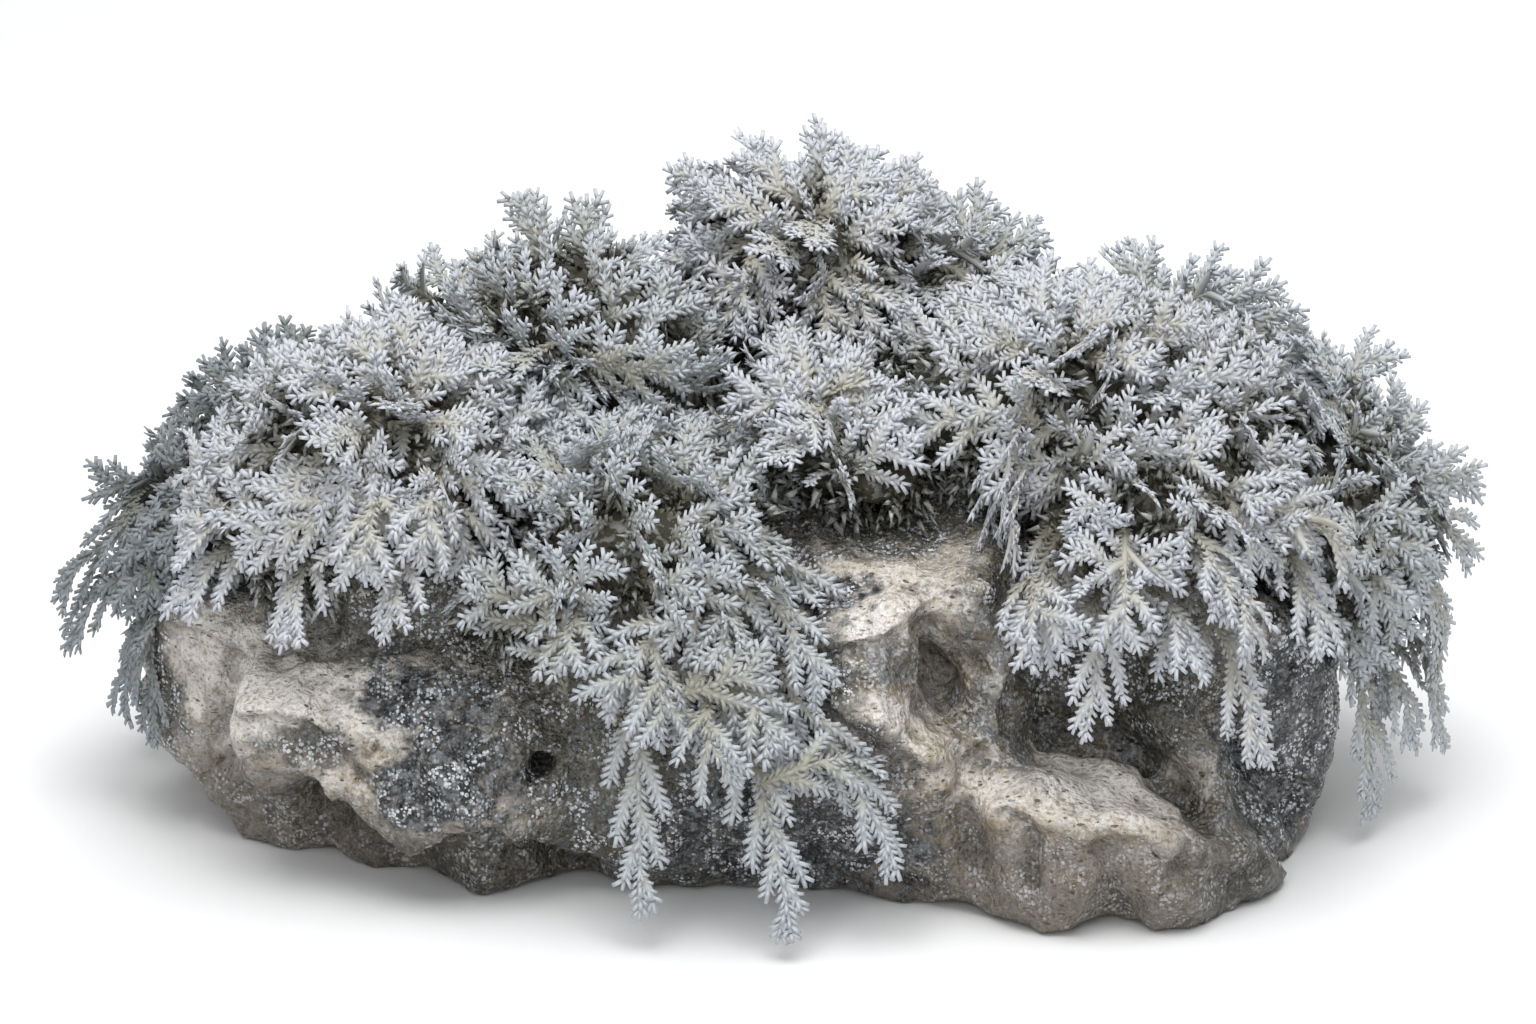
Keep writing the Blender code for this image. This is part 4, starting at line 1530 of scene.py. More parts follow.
MIDDLE_AND_RIGHT = (
    Stroke(
        Tool.LIP,
        ((0, -43, 38), (7, -43, 39), (15, -44, 41), (19, -40, 43), (23, -37, 44.5), (31, -33, 47)),
        reach=6,
        depth=2.6,
    ),
    Stroke(Tool.GROOVE, ((17, -43, 41), (17.5, -44, 37), (16.5, -45, 33)), 2.6, 1.8),
    Stroke(
        Tool.LIP,
        ((27, -40, 24), (22.5, -38, 27), (20.5, -36, 31), (19.5, -39, 36), (19, -41, 42)),
        reach=9,
        depth=5.5,
    ),
    Stroke(Tool.RIDGE, ((7, -46, 31), (12, -47, 32), (18, -46, 32), (23, -44, 30), (26, -42, 27)), 4, 1.6),
    Stroke(Tool.LIP, ((5, -46, 33), (11, -48, 31), (15, -46, 26.5), (19, -46, 25), (24, -44, 22.5)), 10, 3.6),
    Stroke(Tool.LIP, ((37, -38, 20), (32.5, -39, 22), (31, -39, 26), (32, -38, 32), (34, -36, 38)), 11, 6.5),
    Stroke(
        Tool.LIP,
        ((60, -38, 12), (53, -41, 16), (48, -37, 18.5), (42, -34, 19.5), (38, -37, 20), (33, -40, 21)),
        reach=9,
        depth=4.5,
        way=(0, 0.9, -0.5),
    ),
    Stroke(Tool.LIP, ((30, -45, 18.5), (33, -48, 18.5), (36, -49, 16), (37, -49, 12), (35, -46, 6)), 8, 3.4),
    Stroke(Tool.LIP, ((40, -48, 13), (46, -48, 14.5), (51, -48, 15), (54, -46, 10), (54, -44, 4)), 5, 2.0),
    Stroke(Tool.HOLLOW, ((28, -45, 12), (28, -45, 9)), 5, 3.0),
    Stroke(Tool.HOLLOW, ((55, -46, 11), (55, -46, 9)), 4, 2.2),
    Stroke(Tool.HOLLOW, ((45, -46, 8), (45, -46, 6)), 4, 1.5),
    Stroke(Tool.GROOVE, ((60, -42, 11), (62, -40, 7), (61, -38, 2)), 3, 1.8),
    Stroke(Tool.RIDGE, ((56, -30, 26), (58, -32, 19), (62, -32, 13), (67, -29, 7)), 5, 2.2),
    Stroke(
        Tool.LIP,
        ((74, -20, 1), (70, -25, 6), (66, -28, 11), (62, -31, 16), (60, -31, 21), (57, -28, 28)),
        reach=9,
        depth=5,
    ),
    Stroke(Tool.GROOVE, ((12, -26, 48), (20, -28, 47.5), (25, -30, 48)), 3, 1.5, (0, 0.3, -1)),
    Stroke(Tool.GROOVE, ((-6, -38, 26), (0, -40, 20), (-2, -38, 12)), 5, 2.5),
    Stroke(Tool.LIP, ((-16, -36, 8), (-6, -38, 9), (4, -40, 8), (14, -42, 7), (24, -40, 3)), 8, 3.5),
)


@dataclass
class StoneBody:
    """The stone, remeshed from its solid, sculpted, weathered and painted."""

    node: bpy.types.Object
    voxel: float = 0.85 * MM
    crust_reach: float = 5.0 * MM
    crust_lowest_mm: float = 0.6
    moss_reach: float = 12 * MM
    plug_centre_mm: Point = (25.5, -36.5, 16.0)
    plug_radius: float = 4.6 * MM
    cavity_steps: int = 14
    cavity_depth: float = 0.45 * MM

    def make(self, finish: bpy.types.Material, tufts: list[Surface]) -> bpy.types.Object:
        """Make the stone's own piece.

        Args:
            finish: The stone's material.
            tufts: The solids of the moss, near which the stone is damp and crusted.

        Returns:
            The stone's object.
        """
        shape = bmesh.new()
        shape.from_mesh(self.node.data)
        bmesh.ops.remove_doubles(shape, verts=shape.verts, dist=MERGE_DISTANCE)
        plug = Matrix.Translation(Vector(self.plug_centre_mm) * MM)
        bmesh.ops.create_icosphere(shape, subdivisions=3, radius=self.plug_radius, matrix=plug)
        obj = shape_object("weathered_stone", shape)
        self.remesh(obj, 3)
        points = read_points(obj.data) / MM
        for stroke in (*LEFT_STEP, *MIDDLE_AND_RIGHT):
            points = stroke.apply(points)
        write_points(obj.data, points * MM)
        self.remesh(obj, 1)
        WeatheringTree().run(obj, {"Seed": 3, "Finish": finish})
        points = read_points(obj.data)
        points[:, 2] = np.maximum(points[:, 2], 0.0)
        write_points(obj.data, points)
        self.paint_patches(obj.data, tufts)
        obj.data.shade_smooth()
        return obj

    def remesh(self, obj: bpy.types.Object, softness: int) -> None:
        """Give the stone an even skin.

        Args:
            obj: The stone.
            softness: In how many steps the skin is smoothed.
        """
        skin = obj.modifiers.new("skin", "REMESH")
        skin.mode = "VOXEL"
        skin.voxel_size = self.voxel
        soften = obj.modifiers.new("soften", "SMOOTH")
        soften.iterations = softness
        bake_modifiers(obj)

    def paint_patches(self, mesh: bpy.types.Mesh, tufts: list[Surface]) -> None:
        """Store the tints, the slope and the hollows on the mesh.

        Args:
            mesh: The stone's mesh.
            tufts: The solids of the moss, which have a rim of crust round them.
        """
        points = read_points(mesh)
        for tint in Tint:
            total = np.zeros(len(points))
            for patch in STONE_PATCHES[tint]:
                offset = (points / MM - np.array(patch.centre)) / np.array(patch.radii)
                away = np.sqrt((offset**2).sum(axis=1))
                total = np.maximum(total, patch.strength * np.clip(1.5 - away, 0, 1))
            if tint is Tint.CRUST:
                near = np.array([self.distance_to_moss(Vector(point), tufts) for point in points])
                total = np.maximum(total, np.clip(1.2 - near / self.crust_reach, 0, 1))
                total *= np.clip(points[:, 2] / MM - self.crust_lowest_mm, 0, 1)
            paint(mesh, tint.value, total)
        normals = np.empty(len(points) * 3)
        mesh.vertex_normals.foreach_get("vector", normals)
        normals = normals.reshape(-1, 3)
        # The slope and the hollows tell the finish where to paint shade.
        paint(mesh, "slope", normals[:, 2])
        paint(mesh, "cavity", self.cavity(mesh, points, normals))

    def distance_to_moss(self, point: Vector, tufts: list[Surface]) -> float:
        """Measure how far a point of the stone is from the nearest tuft."""
        gaps = [tuft.tree.find_nearest(point, self.moss_reach)[3] for tuft in tufts]
        return min((gap for gap in gaps if gap is not None), default=1.0)

    def cavity(self, mesh: bpy.types.Mesh, points: np.ndarray, normals: np.ndarray) -> np.ndarray:
        """Tell where the surface is hollow, against a smoothed copy of itself.

        Args:
            mesh: The stone's mesh.
            points: Its points.
            normals: The normals there.

        Returns:
            How hollow each point is, from 0 to 1.
        """
        edges = np.empty(len(mesh.edges) * 2, dtype=np.int64)
        mesh.edges.foreach_get("vertices", edges)
        left, right = edges.reshape(-1, 2).T
        degree = np.bincount(edges, minlength=len(points)).astype(float)
        smooth = points
        for _ in range(self.cavity_steps):
            total = np.zeros_like(smooth)
            for axis in range(3):
                total[:, axis] += np.bincount(left, smooth[right, axis], len(points))
                total[:, axis] += np.bincount(right, smooth[left, axis], len(points))
            smooth = total / degree[:, None]
        height = ((smooth - points) * normals).sum(axis=1)
        return np.clip(height / self.cavity_depth, 0, 1)


@dataclass(frozen=True)
class TuftForm:
    """One tuft: where its sprays spread from, its domes and its long sprays, in millimetres."""

    name: str
    crown: Point
    domes: tuple[tuple[Point, Point], ...]
    tongues: tuple[Path, ...]
    # Tufts wear the half-shaded copy of the moss, painted shade, unless they are given another.
    coat: Coat = Coat.GREY
    lowest_slope: float = -0.6
    spray_gap: float = 5.3
    spray_length: float = 19.0


TUFTS = (
    TuftForm(
        "left_mound",
        (-50, -22, 66),
        (((-52, -14, 55), (26, 22, 18)), ((-62, -19, 50), (17, 16, 13))),
        (
            ((-66, -24, 52), (-75, -29, 48), (-79, -31, 41)),
            ((-60, -26, 52), (-63, -35, 47), (-64, -39, 40)),
            ((-48, -28, 52), (-50, -38, 49), (-50, -42, 43)),
            ((-37, -24, 54), (-31, -32, 50), (-29, -36, 45)),
            ((-40, -12, 60), (-34, -14, 62), (-29, -17, 61)),
        ),
        coat=Coat.SILVER,
    ),
    TuftForm(
        "front_drape",
        (-25, -22, 60),
        (((-17, -27, 48), (21, 17, 14)), ((-29, -32, 42), (13, 12, 9)), ((-13, -15, 53), (17, 14, 10))),
        (
            ((-36, -34, 44), (-38, -41, 41), (-39, -43, 36)),
            ((-27, -38, 40), (-25, -46, 33), (-22, -50, 25)),
            ((-18, -38, 42), (-17, -49, 28), (-17, -53, 6)),
            ((-8, -38, 42), (0, -51, 26), (3, -56, 4)),
            ((-5, -36, 43), (10, -48, 30), (17, -53, 12)),
            ((-4, -34, 48), (4, -42, 44), (7, -46, 35)),
        ),
        lowest_slope=-0.3,
    ),
    TuftForm(
        "right_mound",
        (40, -16, 74),
        (((40, -8, 62), (27, 21, 16)), ((52, -20, 52), (21, 17, 14)), ((60, -8, 57), (16, 19, 15))),
        (
            ((38, -28, 52), (36, -41, 46), (35, -45, 38)),
            ((44, -30, 50), (45, -45, 43), (42, -49, 30)),
            ((56, -28, 48), (62, -41, 40), (66, -44, 24)),
            ((50, -30, 49), (54, -41, 44), (56, -44, 38)),
            ((66, -20, 52), (73, -30, 45), (75, -34, 36)),
        ),
        coat=Coat.SILVER,
    ),
    TuftForm(
        "middle_tuft",
        (8, -18, 66),
        (((9, -12, 58), (17, 15, 12)), ((14, -20, 56), (12, 10, 8))),
        (
            ((2, -18, 56), (-3, -27, 57), (-5, -31, 53)),
            ((18, -20, 58), (24, -26, 59), (27, -29, 55)),
        ),
        coat=Coat.SILVER,
        lowest_slope=-0.15,
    ),
    TuftForm(
        "upper_left_tuft",
        (-30, -8, 62),
        (((-28, 2, 66), (19, 17, 17)), ((-16, -4, 63), (14, 13, 12))),
        (
            ((-34, 4, 70), (-40, 5, 77), (-43, 7, 82)),
            ((-28, 4, 72), (-32, 6, 80), (-34, 8, 86)),
            ((-26, 4, 72), (-25, 6, 80), (-25, 8, 85)),
            ((-22, 4, 70), (-20, 6, 78), (-18, 8, 84)),
            ((-14, -2, 66), (-7, -5, 74), (-4, -8, 76)),
            ((-32, -4, 62), (-35, -13, 63), (-36, -19, 60)),
            ((-24, -8, 62), (-24, -16, 62), (-24, -21, 60)),
        ),
    ),
    TuftForm(
        "crown_tuft",
        (6, 14, 82),
        (((6, 20, 68), (22, 20, 19)), ((20, 18, 64), (17, 16, 15)), ((14, 6, 58), (22, 14, 12))),
        (
            ((0, 20, 76), (-8, 21, 82), (-12, 22, 86)),
            ((2, 20, 78), (-1, 22, 84), (-2, 24, 89)),
            ((6, 20, 78), (7, 22, 86), (8, 24, 91)),
            ((14, 20, 76), (18, 22, 80), (20, 24, 86)),
            ((24, 20, 68), (29, 22, 75), (32, 24, 77)),
        ),
        coat=Coat.SILVER,
    ),
    TuftForm(
        "right_drape",
        (70, 2, 60),
        (((79, 2, 41), (15, 24, 20)), ((74, 8, 50), (14, 18, 14))),
        (
            ((82, 4, 50), (86, 6, 54), (89, 8, 55)),
            ((84, 2, 47), (93, 3, 50), (99, 4, 46)),
            ((86, 0, 44), (95, 0, 44), (98, 1, 37)),
            ((86, -2, 38), (93, -2, 36), (94, -2, 26)),
            ((86, -3, 34), (94, -4, 24), (95, -4, 10)),
            ((83, -6, 32), (89, -9, 24), (90, -10, 13)),
            ((80, -8, 32), (84, -15, 20), (84, -16, 5)),
            ((84, 14, 42), (93, 17, 34), (95, 18, 20)),
        ),
    ),
    TuftForm(
        "left_drape",
        (-66, 8, 60),
        (((-68, 10, 41), (20, 24, 19)), ((-77, 5, 33), (14, 20, 16))),
        (
            ((-86, 4, 38), (-95, 1, 34), (-98, 0, 23)),
            ((-84, -2, 34), (-90, -6, 28), (-90, -7, 17)),
            ((-84, 6, 42), (-95, 6, 39), (-100, 4, 29)),
            ((-84, 8, 42), (-91, 8, 44), (-94, 8, 45)),
            ((-76, 10, 46), (-82, 12, 52), (-84, 13, 55)),
            ((-70, 12, 52), (-75, 14, 58), (-77, 14, 60)),
            ((-80, -8, 34), (-85, -11, 26), (-86, -12, 14)),
            ((-86, 16, 32), (-92, 18, 24), (-92, 18, 10)),
        ),
        # Painted shade: this tuft wears the shaded copy of the moss.
        coat=Coat.DUSKY,
    ),
    TuftForm(
        "right_back_tuft",
        (56, 14, 70),
        (((54, 18, 54), (25, 20, 15)), ((68, 20, 44), (16, 20, 16))),
        (
            ((56, 16, 62), (60, 18, 70), (61, 20, 75)),
            ((48, 16, 62), (49, 18, 69), (50, 20, 73)),
            ((66, 20, 56), (70, 20, 63), (71, 20, 67)),
            ((72, 18, 52), (78, 16, 59), (81, 14, 61)),
        ),
    ),
    TuftForm(
        "back_left_tuft",
        (-42, 26, 68),
        (((-36, 30, 48), (32, 20, 20)), ((-58, 30, 36), (20, 20, 19)), ((-26, 20, 54), (22, 18, 14))),
        (
            ((-56, 26, 56), (-58, 27, 63), (-59, 28, 67)),
            ((-46, 26, 60), (-48, 25, 67), (-49, 25, 71)),
            ((-64, 24, 48), (-67, 23, 55), (-68, 22, 60)),
            ((-58, 42, 38), (-63, 54, 30), (-64, 58, 16)),
            ((-42, 44, 42), (-42, 57, 32), (-41, 61, 16)),
            ((-24, 44, 46), (-20, 57, 38), (-19, 61, 24)),
        ),
        spray_gap=7.2,
    ),
    TuftForm(
        "back_right_tuft",
        (26, 34, 74),
        (((16, 38, 55), (32, 20, 20)), ((46, 36, 45), (24, 20, 20))),
        (
            ((30, 28, 66), (33, 25, 72), (34, 23, 76)),
            ((4, 50, 46), (4, 61, 36), (4, 65, 20)),
            ((26, 50, 44), (28, 61, 32), (29, 64, 14)),
            ((48, 46, 40), (53, 57, 30), (55, 60, 14)),
            ((64, 38, 38), (75, 44, 28), (78, 46, 14)),
        ),
        spray_gap=7.2,
    ),
)


@dataclass(frozen=True)
class Kit:
    """What all tufts share: the trees, the small pieces and the materials."""

    foliage: FoliageTree
    scatter: ScatterTree
    lobe: bpy.types.Object
    sprig: bpy.types.Object
    coats: dict[Coat, bpy.types.Material]
    thatch: bpy.types.Material


@dataclass
class MossTuft:
    """One tuft of moss, grown over its solid."""

    form: TuftForm
    surfaces: dict[str, Surface]
    dice: np.random.Generator
    thatch_inset_mm: float = 5.0
    thatch_voxel: float = 1.9 * MM
    lump_size: float = 6 * MM
    lump_height: float = 5 * MM
    sprig_gap: float = 0.32
    exposure: float = 1.6 * MM
    tongue_width: float = 4.2 * MM
    root_reach: float = 8 * MM
    crown_count: int = 9
    crown_turn: float = 2.4
    back_side: float = 25 * MM
    long_enough_for_two: float = 28 * MM
    length_spread: float = 0.2
    turn_spread: float = 0.34
    swing_spread: float = 1.25
    tip_spread: float = 0.8 * MM
    face_spread: float = 0.5
    sprays: int = 0

    def __post_init__(self) -> None:
        """Take the tuft's own solid and set up its grower."""
        self.surface = self.surfaces[self.form.name]
        self.grower = SprayGrower(self.surfaces["stone"], self.surface, self.dice)

    def is_open(self, place: Vector, normal: Vector) -> bool:
        """Tell whether nothing else lies just outside a point of the tuft.

        Args:
            place: The point.
            normal: The surface's normal there.

        Returns:
            True where the point is in the open.
        """
        start = place + normal * 0.2 * MM
        others = (surface for name, surface in self.surfaces.items() if name != self.form.name)
        return all(other.tree.ray_cast(start, normal, self.exposure)[0] is None for other in others)

    def is_on_tongue(self, place: Vector) -> bool:
        """Tell whether a point is on a long spray, which is grown by itself.

        Args:
            place: The point.

        Returns:
            True near the outer part of a tongue.
        """
        for path in self.form.tongues:
            curve = [Vector(point) * MM for point in path]
            spots = (on_curve(*curve, share) for share in (0.45, 0.6, 0.75, 0.9, 1.0))
            if any((place - spot).length < self.tongue_width for spot in spots):
                return True
        return False

    def grow(self) -> None:
        """Grow all of the tuft's branch lines."""
        for place, normal in self.surface.scatter(self.form.spray_gap * MM, self.dice):
            if normal.z <= self.form.lowest_slope:
                continue
            if self.is_open(place, normal) and not self.is_on_tongue(place):
                self.dome_spray(place, normal)
        for number in range(self.crown_count):
            self.crown_spray(number)
        for path in self.form.tongues:
            self.long_sprays(path)

    def crown_spray(self, number: int) -> None:
        """Grow one of the short sprays that lie over the tuft's crown, fan out and close it.

        Args:
            number: The spray's number, from the crown's middle outwards.
        """
        grower = self.grower
        angle = self.crown_turn * number + grower.jitter(0.3)
        fan = Vector((math.cos(angle), math.sin(angle), 0.0))
        spot = Vector(self.form.crown) * MM + fan * (2.0 + 1.1 * number) * MM
        foot, normal, _, _ = self.surface.tree.find_nearest(spot)
        way = unit(unit(across(fan, normal)) * 0.8 + normal * 0.5 + UP * 0.25)
        foot = foot - normal * 2.0 * MM
        start = grower.sunk(foot - way * 4.0 * MM - normal * 2.5 * MM)
        tip = foot + way * (7.5 + grower.jitter(1.5)) * MM
        bend = foot + way * 2.0 * MM + normal * 1.2 * MM
        up = unit(normal + Vector((0.0, -0.4, 0.0)))
        grower.spray((start, bend, tip), up, Habit.UPRIGHT)
        self.sprays += 1

    def dome_spray(self, place: Vector, normal: Vector) -> None:
        """Grow the spray whose tip is at a point of the surface.

        The spray spreads from the tuft's crown. It lies flat far from the crown and stands up on
        top of it, where its direction also swings the most.

        Args:
            place: The point of the surface.
            normal: The surface's normal there.
        """
        grower = self.grower
        length = self.form.spray_length * MM * (1 + grower.jitter(self.length_spread))
        from_crown = place - Vector(self.form.crown) * MM
        along = unit(across(from_crown, normal), normal)
        flat = min(1.0, across(from_crown, normal).length / (0.8 * length))
        turn = Vector([grower.jitter(self.turn_spread) for _ in range(3)])
        level = max(0.0, normal.z)
        rise = min(1.0, max(0.0, (normal.z + 0.3) / 0.55))
        swing = rise * grower.jitter(self.swing_spread)
        along = along * math.cos(swing) + normal.cross(along) * math.sin(swing)
        along.z *= 1 - 0.3 * rise
        lift = 0.34 + 0.6 * (1 - flat) + 0.5 * level
        way = along * (0.3 + 0.7 * flat) + normal * lift + turn
        way = unit(way + UP * (0.28 * rise - 0.15 * (1 - rise)))
        tip = place + normal * (0.6 * MM + grower.jitter(self.tip_spread))
        depth = (2.0 + 3.5 * flat) * MM
        start = tip - way * length * 0.9 - normal * depth
        if self.surface.depth(start) < grower.root_depth:
            start = tip - way * length * 0.55 - normal * (depth + 5 * MM)
        start = grower.sunk(start)
        bend = tip - way * length * 0.42 + normal * 2.0 * flat * MM - UP * 1.3 * rise * MM
        face = Vector((place.x * 0.5, place.y - 10 * MM, 0.0))
        stray = [grower.jitter(self.face_spread) for _ in range(2)]
        face = unit(unit(face) + Vector((*stray, 0.25)))
        up = unit(unit(normal + along * 0.2) * (1 - 0.6 * level) + face * level + turn * 0.5)
        habit = Habit.UPRIGHT if level > 0.75 and flat < 0.6 else Habit.MOUND
        grower.spray((start, bend, tip), up, habit)
        self.sprays += 1

    def long_sprays(self, path: Path) -> None:
        """Grow a long spray along its tongue, and shorter ones beside it.

        A rising spray gets one on each side. A hanging one gets one, if it is long enough.

        Args:
            path: The tongue's start, bend and end in millimetres.
        """
        grower = self.grower
        root, bend, end = (Vector(point) * MM for point in path)
        root -= unit(bend - root) * self.root_reach
        way = end - root
        nearer = -1 if bend.y < self.back_side else 1
        outwards = Vector((0.6 * bend.x, 0.6 * bend.y + 32 * MM * nearer, 0.0))
        if way.z > 0:
            habit, spread, signs = Habit.UPRIGHT, 3.2, (-1, 1)
            facing = -1.0 if bend.y < 30 * MM else 1.0
            up = unit(across(Vector((0.25 * outwards.x / 0.1, facing, 0.3)), unit(way)))
        else:
            habit, spread, signs = Habit.HANGING, 4.7, (1,) * (way.length > self.long_enough_for_two)
            up = unit(across(unit(outwards) + UP * 0.35, unit(way)), UP)
        side = unit(up.cross(way))
        grower.spray((root, bend, end), up, habit)
        side *= 1 if grower.jitter(1) > 0 else -1
        for sign in signs:
            shift = side * sign * (spread + grower.jitter(1.0)) * MM - up * 1.5 * MM
            reach = 0.64 + grower.jitter(0.14)
            start = grower.sunk(root + shift * 0.5 - way * 0.05)
            middle = root + (bend - root) * reach + shift * 0.8
            tip = root + way * reach + shift * 1.5
            grower.spray((start, middle, tip), up, habit)
        self.sprays += 1

    def make(self, kit: Kit) -> list[bpy.types.Object]:
        """Make the tuft's pieces.

        Args:
            kit: What all tufts share.

        Returns:
            The sprays and the thatch under them.
        """
        self.grow()
        sprays = self.grower.lines(f"{self.form.name}_sprays")
        values = {
            "Lobe": kit.lobe,
            "Lobe gap": 0.5 * MM,
            "Lobed depth": 7.0 * MM,
            "Stem step": 1.9 * MM,
            "Stem flatness": 0.45,
            "Side spread": 1.05,
            "Side lift": 0.12,
            "Back lift": 0.5,
            "Smallest": 0.8,
            "Largest": 1.2,
            "Seed": 10 + len(self.form.name),
            "Finish": kit.coats[self.form.coat],
        }
        kit.foliage.run(sprays, values)
        return [sprays, self.thatch(kit)]

    def thatch(self, kit: Kit) -> bpy.types.Object:
        """Make the matted growth under the sprays, whose dark colour is partly painted shade.

        Args:
            kit: What all tufts share.

        Returns:
            The lumpy thatch with its sprigs.
        """
        shape = bmesh.new()
        for centre, radii in self.form.domes:
            start = len(shape.verts)
            bmesh.ops.create_icosphere(shape, subdivisions=3, radius=1.0)
            shape.verts.ensure_lookup_table()
            reach = [(radius - self.thatch_inset_mm) * MM for radius in radii]
            for vertex in shape.verts[start:]:
                vertex.co = Vector(a * b for a, b in zip(vertex.co, reach)) + Vector(centre) * MM
        name = f"{self.form.name}_thatch"
        obj = shape_object(name, shape)
        fuse = obj.modifiers.new("fuse", "REMESH")
        fuse.mode = "VOXEL"
        fuse.voxel_size = self.thatch_voxel
        texture = bpy.data.textures.new(name, "CLOUDS")
        texture.noise_scale = self.lump_size
        lumps = obj.modifiers.new("lumps", "DISPLACE")
        lumps.texture = texture
        lumps.texture_coords = "GLOBAL"
        lumps.strength = self.lump_height
        bake_modifiers(obj)
        paint(obj.data, "shag", np.ones(len(obj.data.vertices)))
        values = {
            "Piece": kit.sprig,
            "Gap": self.sprig_gap * self.form.spray_gap * MM,
            "Density": 300000.0,
            "Where": "shag",
            "Lift": 0.5,
            "Lean": 0.8,
            "Hang": 0.35,
            "Smallest": 0.9,
            "Largest": 1.6,
            "Keep surface": True,
            "Seed": 7,
            "Finish": kit.thatch,
        }
        kit.scatter.run(obj, values)
        obj.data.shade_smooth()
        return obj


@dataclass
class Crust:
    """The sparkling grains on the stone beside the moss."""

    grain: float = 0.38 * MM
    gap: float = 0.5 * MM

    def make(
        self, stone: bpy.types.Object, scatter: ScatterTree, finish: bpy.types.Material
    ) -> bpy.types.Object:
        """Scatter the grains over the crusted part of the stone.

        Args:
            stone: The finished stone, whose mesh is only read.
            scatter: The tree that scatters them.
            finish: The grains' material.

        Returns:
            One object of all grains.
        """
        shape = bmesh.new()
        size = {"radius1": self.grain, "radius2": 0, "depth": 1.6 * self.grain}
        bmesh.ops.create_cone(shape, cap_ends=True, segments=3, **size)
        bmesh.ops.triangulate(shape, faces=shape.faces)
        grain = shape_object("grain", shape)
        obj = add_object("crust_grains", stone.data.copy())
        values = {
            "Piece": grain,
            "Gap": self.gap,
            "Density": 900000.0,
            "Where": Tint.CRUST.value,
            "Lift": 1.0,
            "Lean": 0.8,
            "Hang": 0.0,
            "Smallest": 0.35,
            "Largest": 1.0,
            "Keep surface": False,
            "Seed": 5,
            "Finish": finish,
        }
        scatter.run(obj, values)
        bpy.data.objects.remove(grain)
        return obj


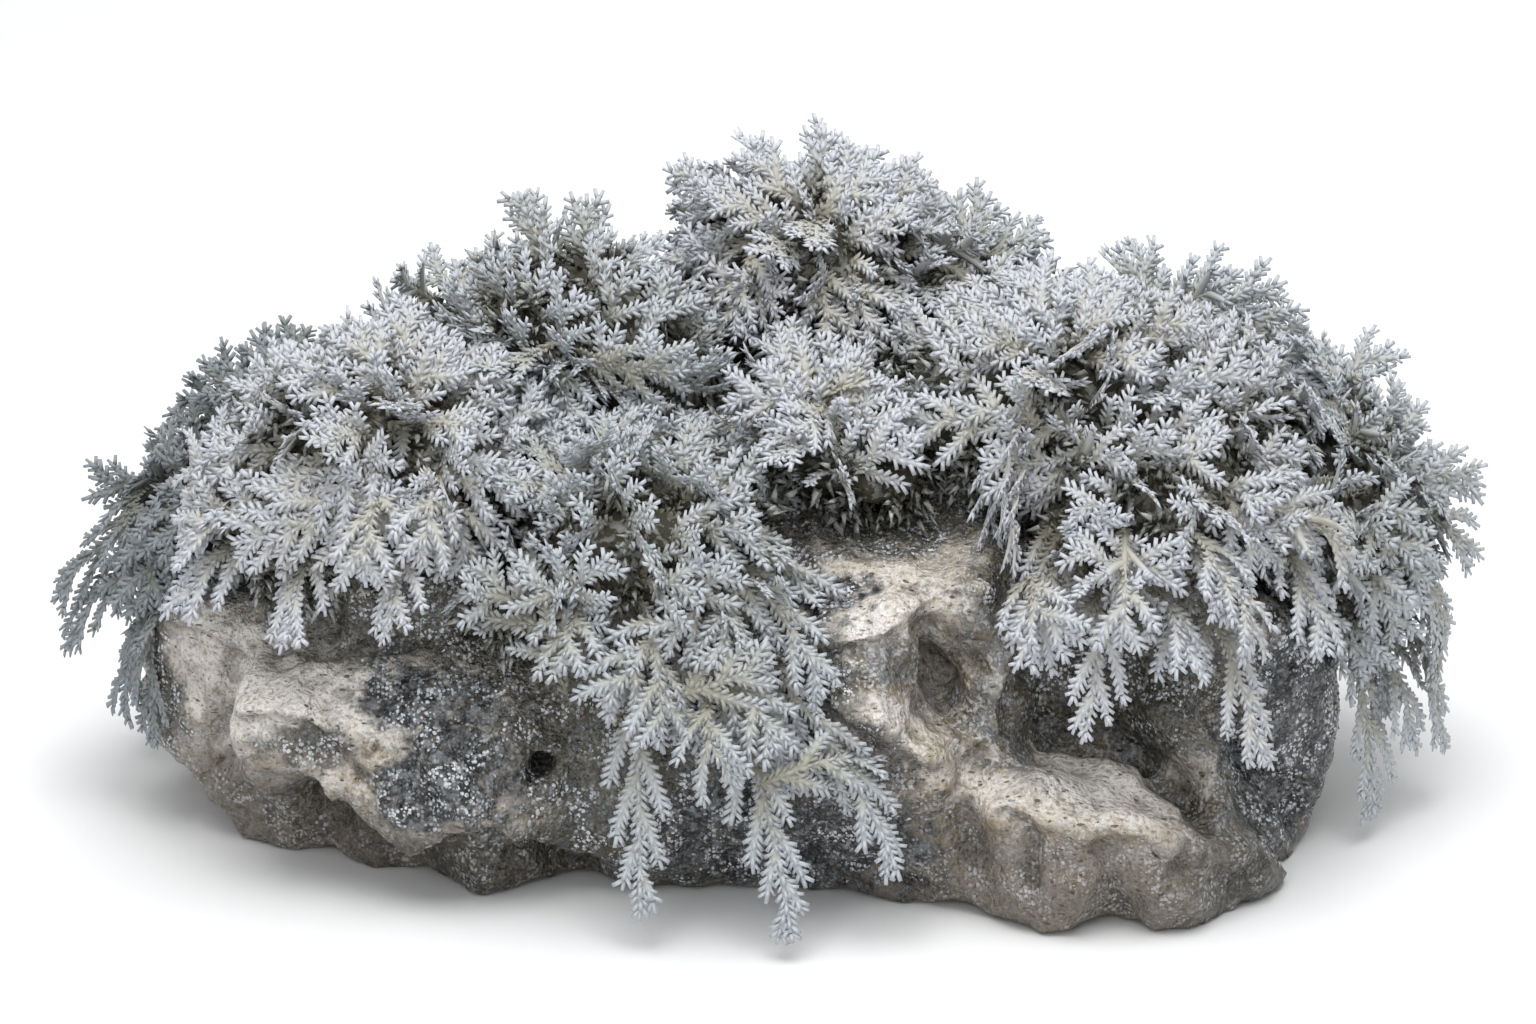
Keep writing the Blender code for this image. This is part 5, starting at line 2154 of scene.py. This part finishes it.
@dataclass
class Studio:
    """A pale floor, soft light from above and the camera."""

    distance: float = 0.8
    elevation: float = 20.0
    target: Point = (0.0, 0.0, 0.043)
    photo_width: int = 1536
    focal_pixels: float = 5734.767
    sensor: float = 36.0
    floor_size: float = 6.0
    floor_drop: float = 0.2 * MM
    lit_point: Point = (0.0, 0.0, 0.04)
    floor_tones: tuple[float, float] = (0.9, 0.93)
    sky: Colour = (0.94, 0.97, 1.0, 1.0)
    sky_strength: float = 0.45

    def make(self) -> None:
        """Set up the floor, the lights, the world and the camera."""
        self.floor()
        self.light("overhead", (0.0, -0.18, 0.85), 0.7, 7.0)
        self.light("front_fill", (-0.2, -0.9, 0.5), 0.6, 1.5)
        self.light("back_fill", (0.25, 0.85, 0.45), 0.7, 2.6)
        world = bpy.data.worlds.new("studio")
        world.use_nodes = True
        background = world.node_tree.nodes["Background"]
        background.inputs["Color"].default_value = self.sky
        background.inputs["Strength"].default_value = self.sky_strength
        bpy.context.scene.world = world
        bpy.context.scene.view_settings.view_transform = "Standard"
        self.camera()

    def floor(self) -> None:
        """Lay the floor, a hair below the plane that the stone rests on."""
        shape = bmesh.new()
        below = Matrix.Translation((0.0, 0.0, -self.floor_drop))
        bmesh.ops.create_grid(shape, x_segments=1, y_segments=1, size=self.floor_size, matrix=below)
        obj = shape_object("floor", shape)
        graph = MaterialGraph("pale_floor")
        tones = [(tone, tone, tone, 1.0) for tone in self.floor_tones]
        colour = graph.blend(graph.noise(graph.place, 0.4), *tones)
        obj.data.materials.append(graph.shade({"Base Color": colour, "Roughness": 0.9}))

    def light(self, name: str, place: Point, size: float, power: float) -> None:
        """Hang a square area light that faces the moss.

        Args:
            name: The light's name.
            place: Where it hangs.
            size: Its side.
            power: Its power in watts.
        """
        data = bpy.data.lights.new(name, "AREA")
        data.size = size
        data.energy = power
        obj = add_object(name, data)
        obj.location = place
        obj.rotation_euler = (Vector(self.lit_point) - Vector(place)).to_track_quat("-Z", "Y").to_euler()

    def camera(self) -> None:
        """Place the camera at the photograph's viewing angle."""
        data = bpy.data.cameras.new("camera")
        data.sensor_width = self.sensor
        data.lens = self.sensor * self.focal_pixels / self.photo_width
        data.clip_start = 0.01
        obj = add_object("camera", data)
        angle = math.radians(self.elevation)
        back = Vector((0.0, -math.cos(angle), math.sin(angle)))
        obj.location = Vector(self.target) + back * self.distance
        obj.rotation_euler = (-back).to_track_quat("-Z", "Y").to_euler()
        bpy.context.scene.camera = obj


def triangles(obj: bpy.types.Object) -> int:
    """Count an object's triangles."""
    return sum(len(polygon.vertices) - 2 for polygon in obj.data.polygons)


def main() -> None:
    """Build the studio, the stone, its crust and every tuft of moss."""
    logging.basicConfig(level=logging.INFO, format="%(message)s", force=True)
    for obj in list(bpy.data.objects):
        bpy.data.objects.remove(obj)
    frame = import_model()
    Studio().make()
    nodes = frame["nodes"]
    surfaces = {name: Surface(node) for name, node in nodes.items()}
    moss_surfaces = [surface for name, surface in surfaces.items() if name != "stone"]

    stone = StoneBody(nodes["stone"]).make(StoneFinish().make(speckle_group()), moss_surfaces)
    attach(stone, BODY)
    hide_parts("stone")
    LOG.info("stone: %d triangles", triangles(stone))

    foliage = FoliageTree()
    scatter = ScatterTree()
    crust = Crust().make(stone, scatter, CrustFinish().make())
    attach(crust, BODY)
    LOG.info("crust: %d triangles", triangles(crust))

    coats = {coat: coat.value.make() for coat in Coat}
    kit = Kit(foliage, scatter, Lobe().make(), Sprig().make(), coats, ThatchFinish().make())
    total = triangles(crust)
    for number, form in enumerate(TUFTS):
        tuft = MossTuft(form, surfaces, np.random.default_rng(FIRST_SEED + number))
        pieces = tuft.make(kit)
        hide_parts(form.name)
        for piece in pieces:
            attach(piece, BODY)
        counts = [triangles(piece) for piece in pieces]
        total += sum(counts)
        LOG.info("%s: %d sprays, %d + %d triangles", form.name, tuft.sprays, *counts)
    LOG.info("moss and grains: %d triangles", total)
    bpy.data.objects.remove(kit.lobe)
    bpy.data.objects.remove(kit.sprig)


if __name__ == "__main__":
    main()
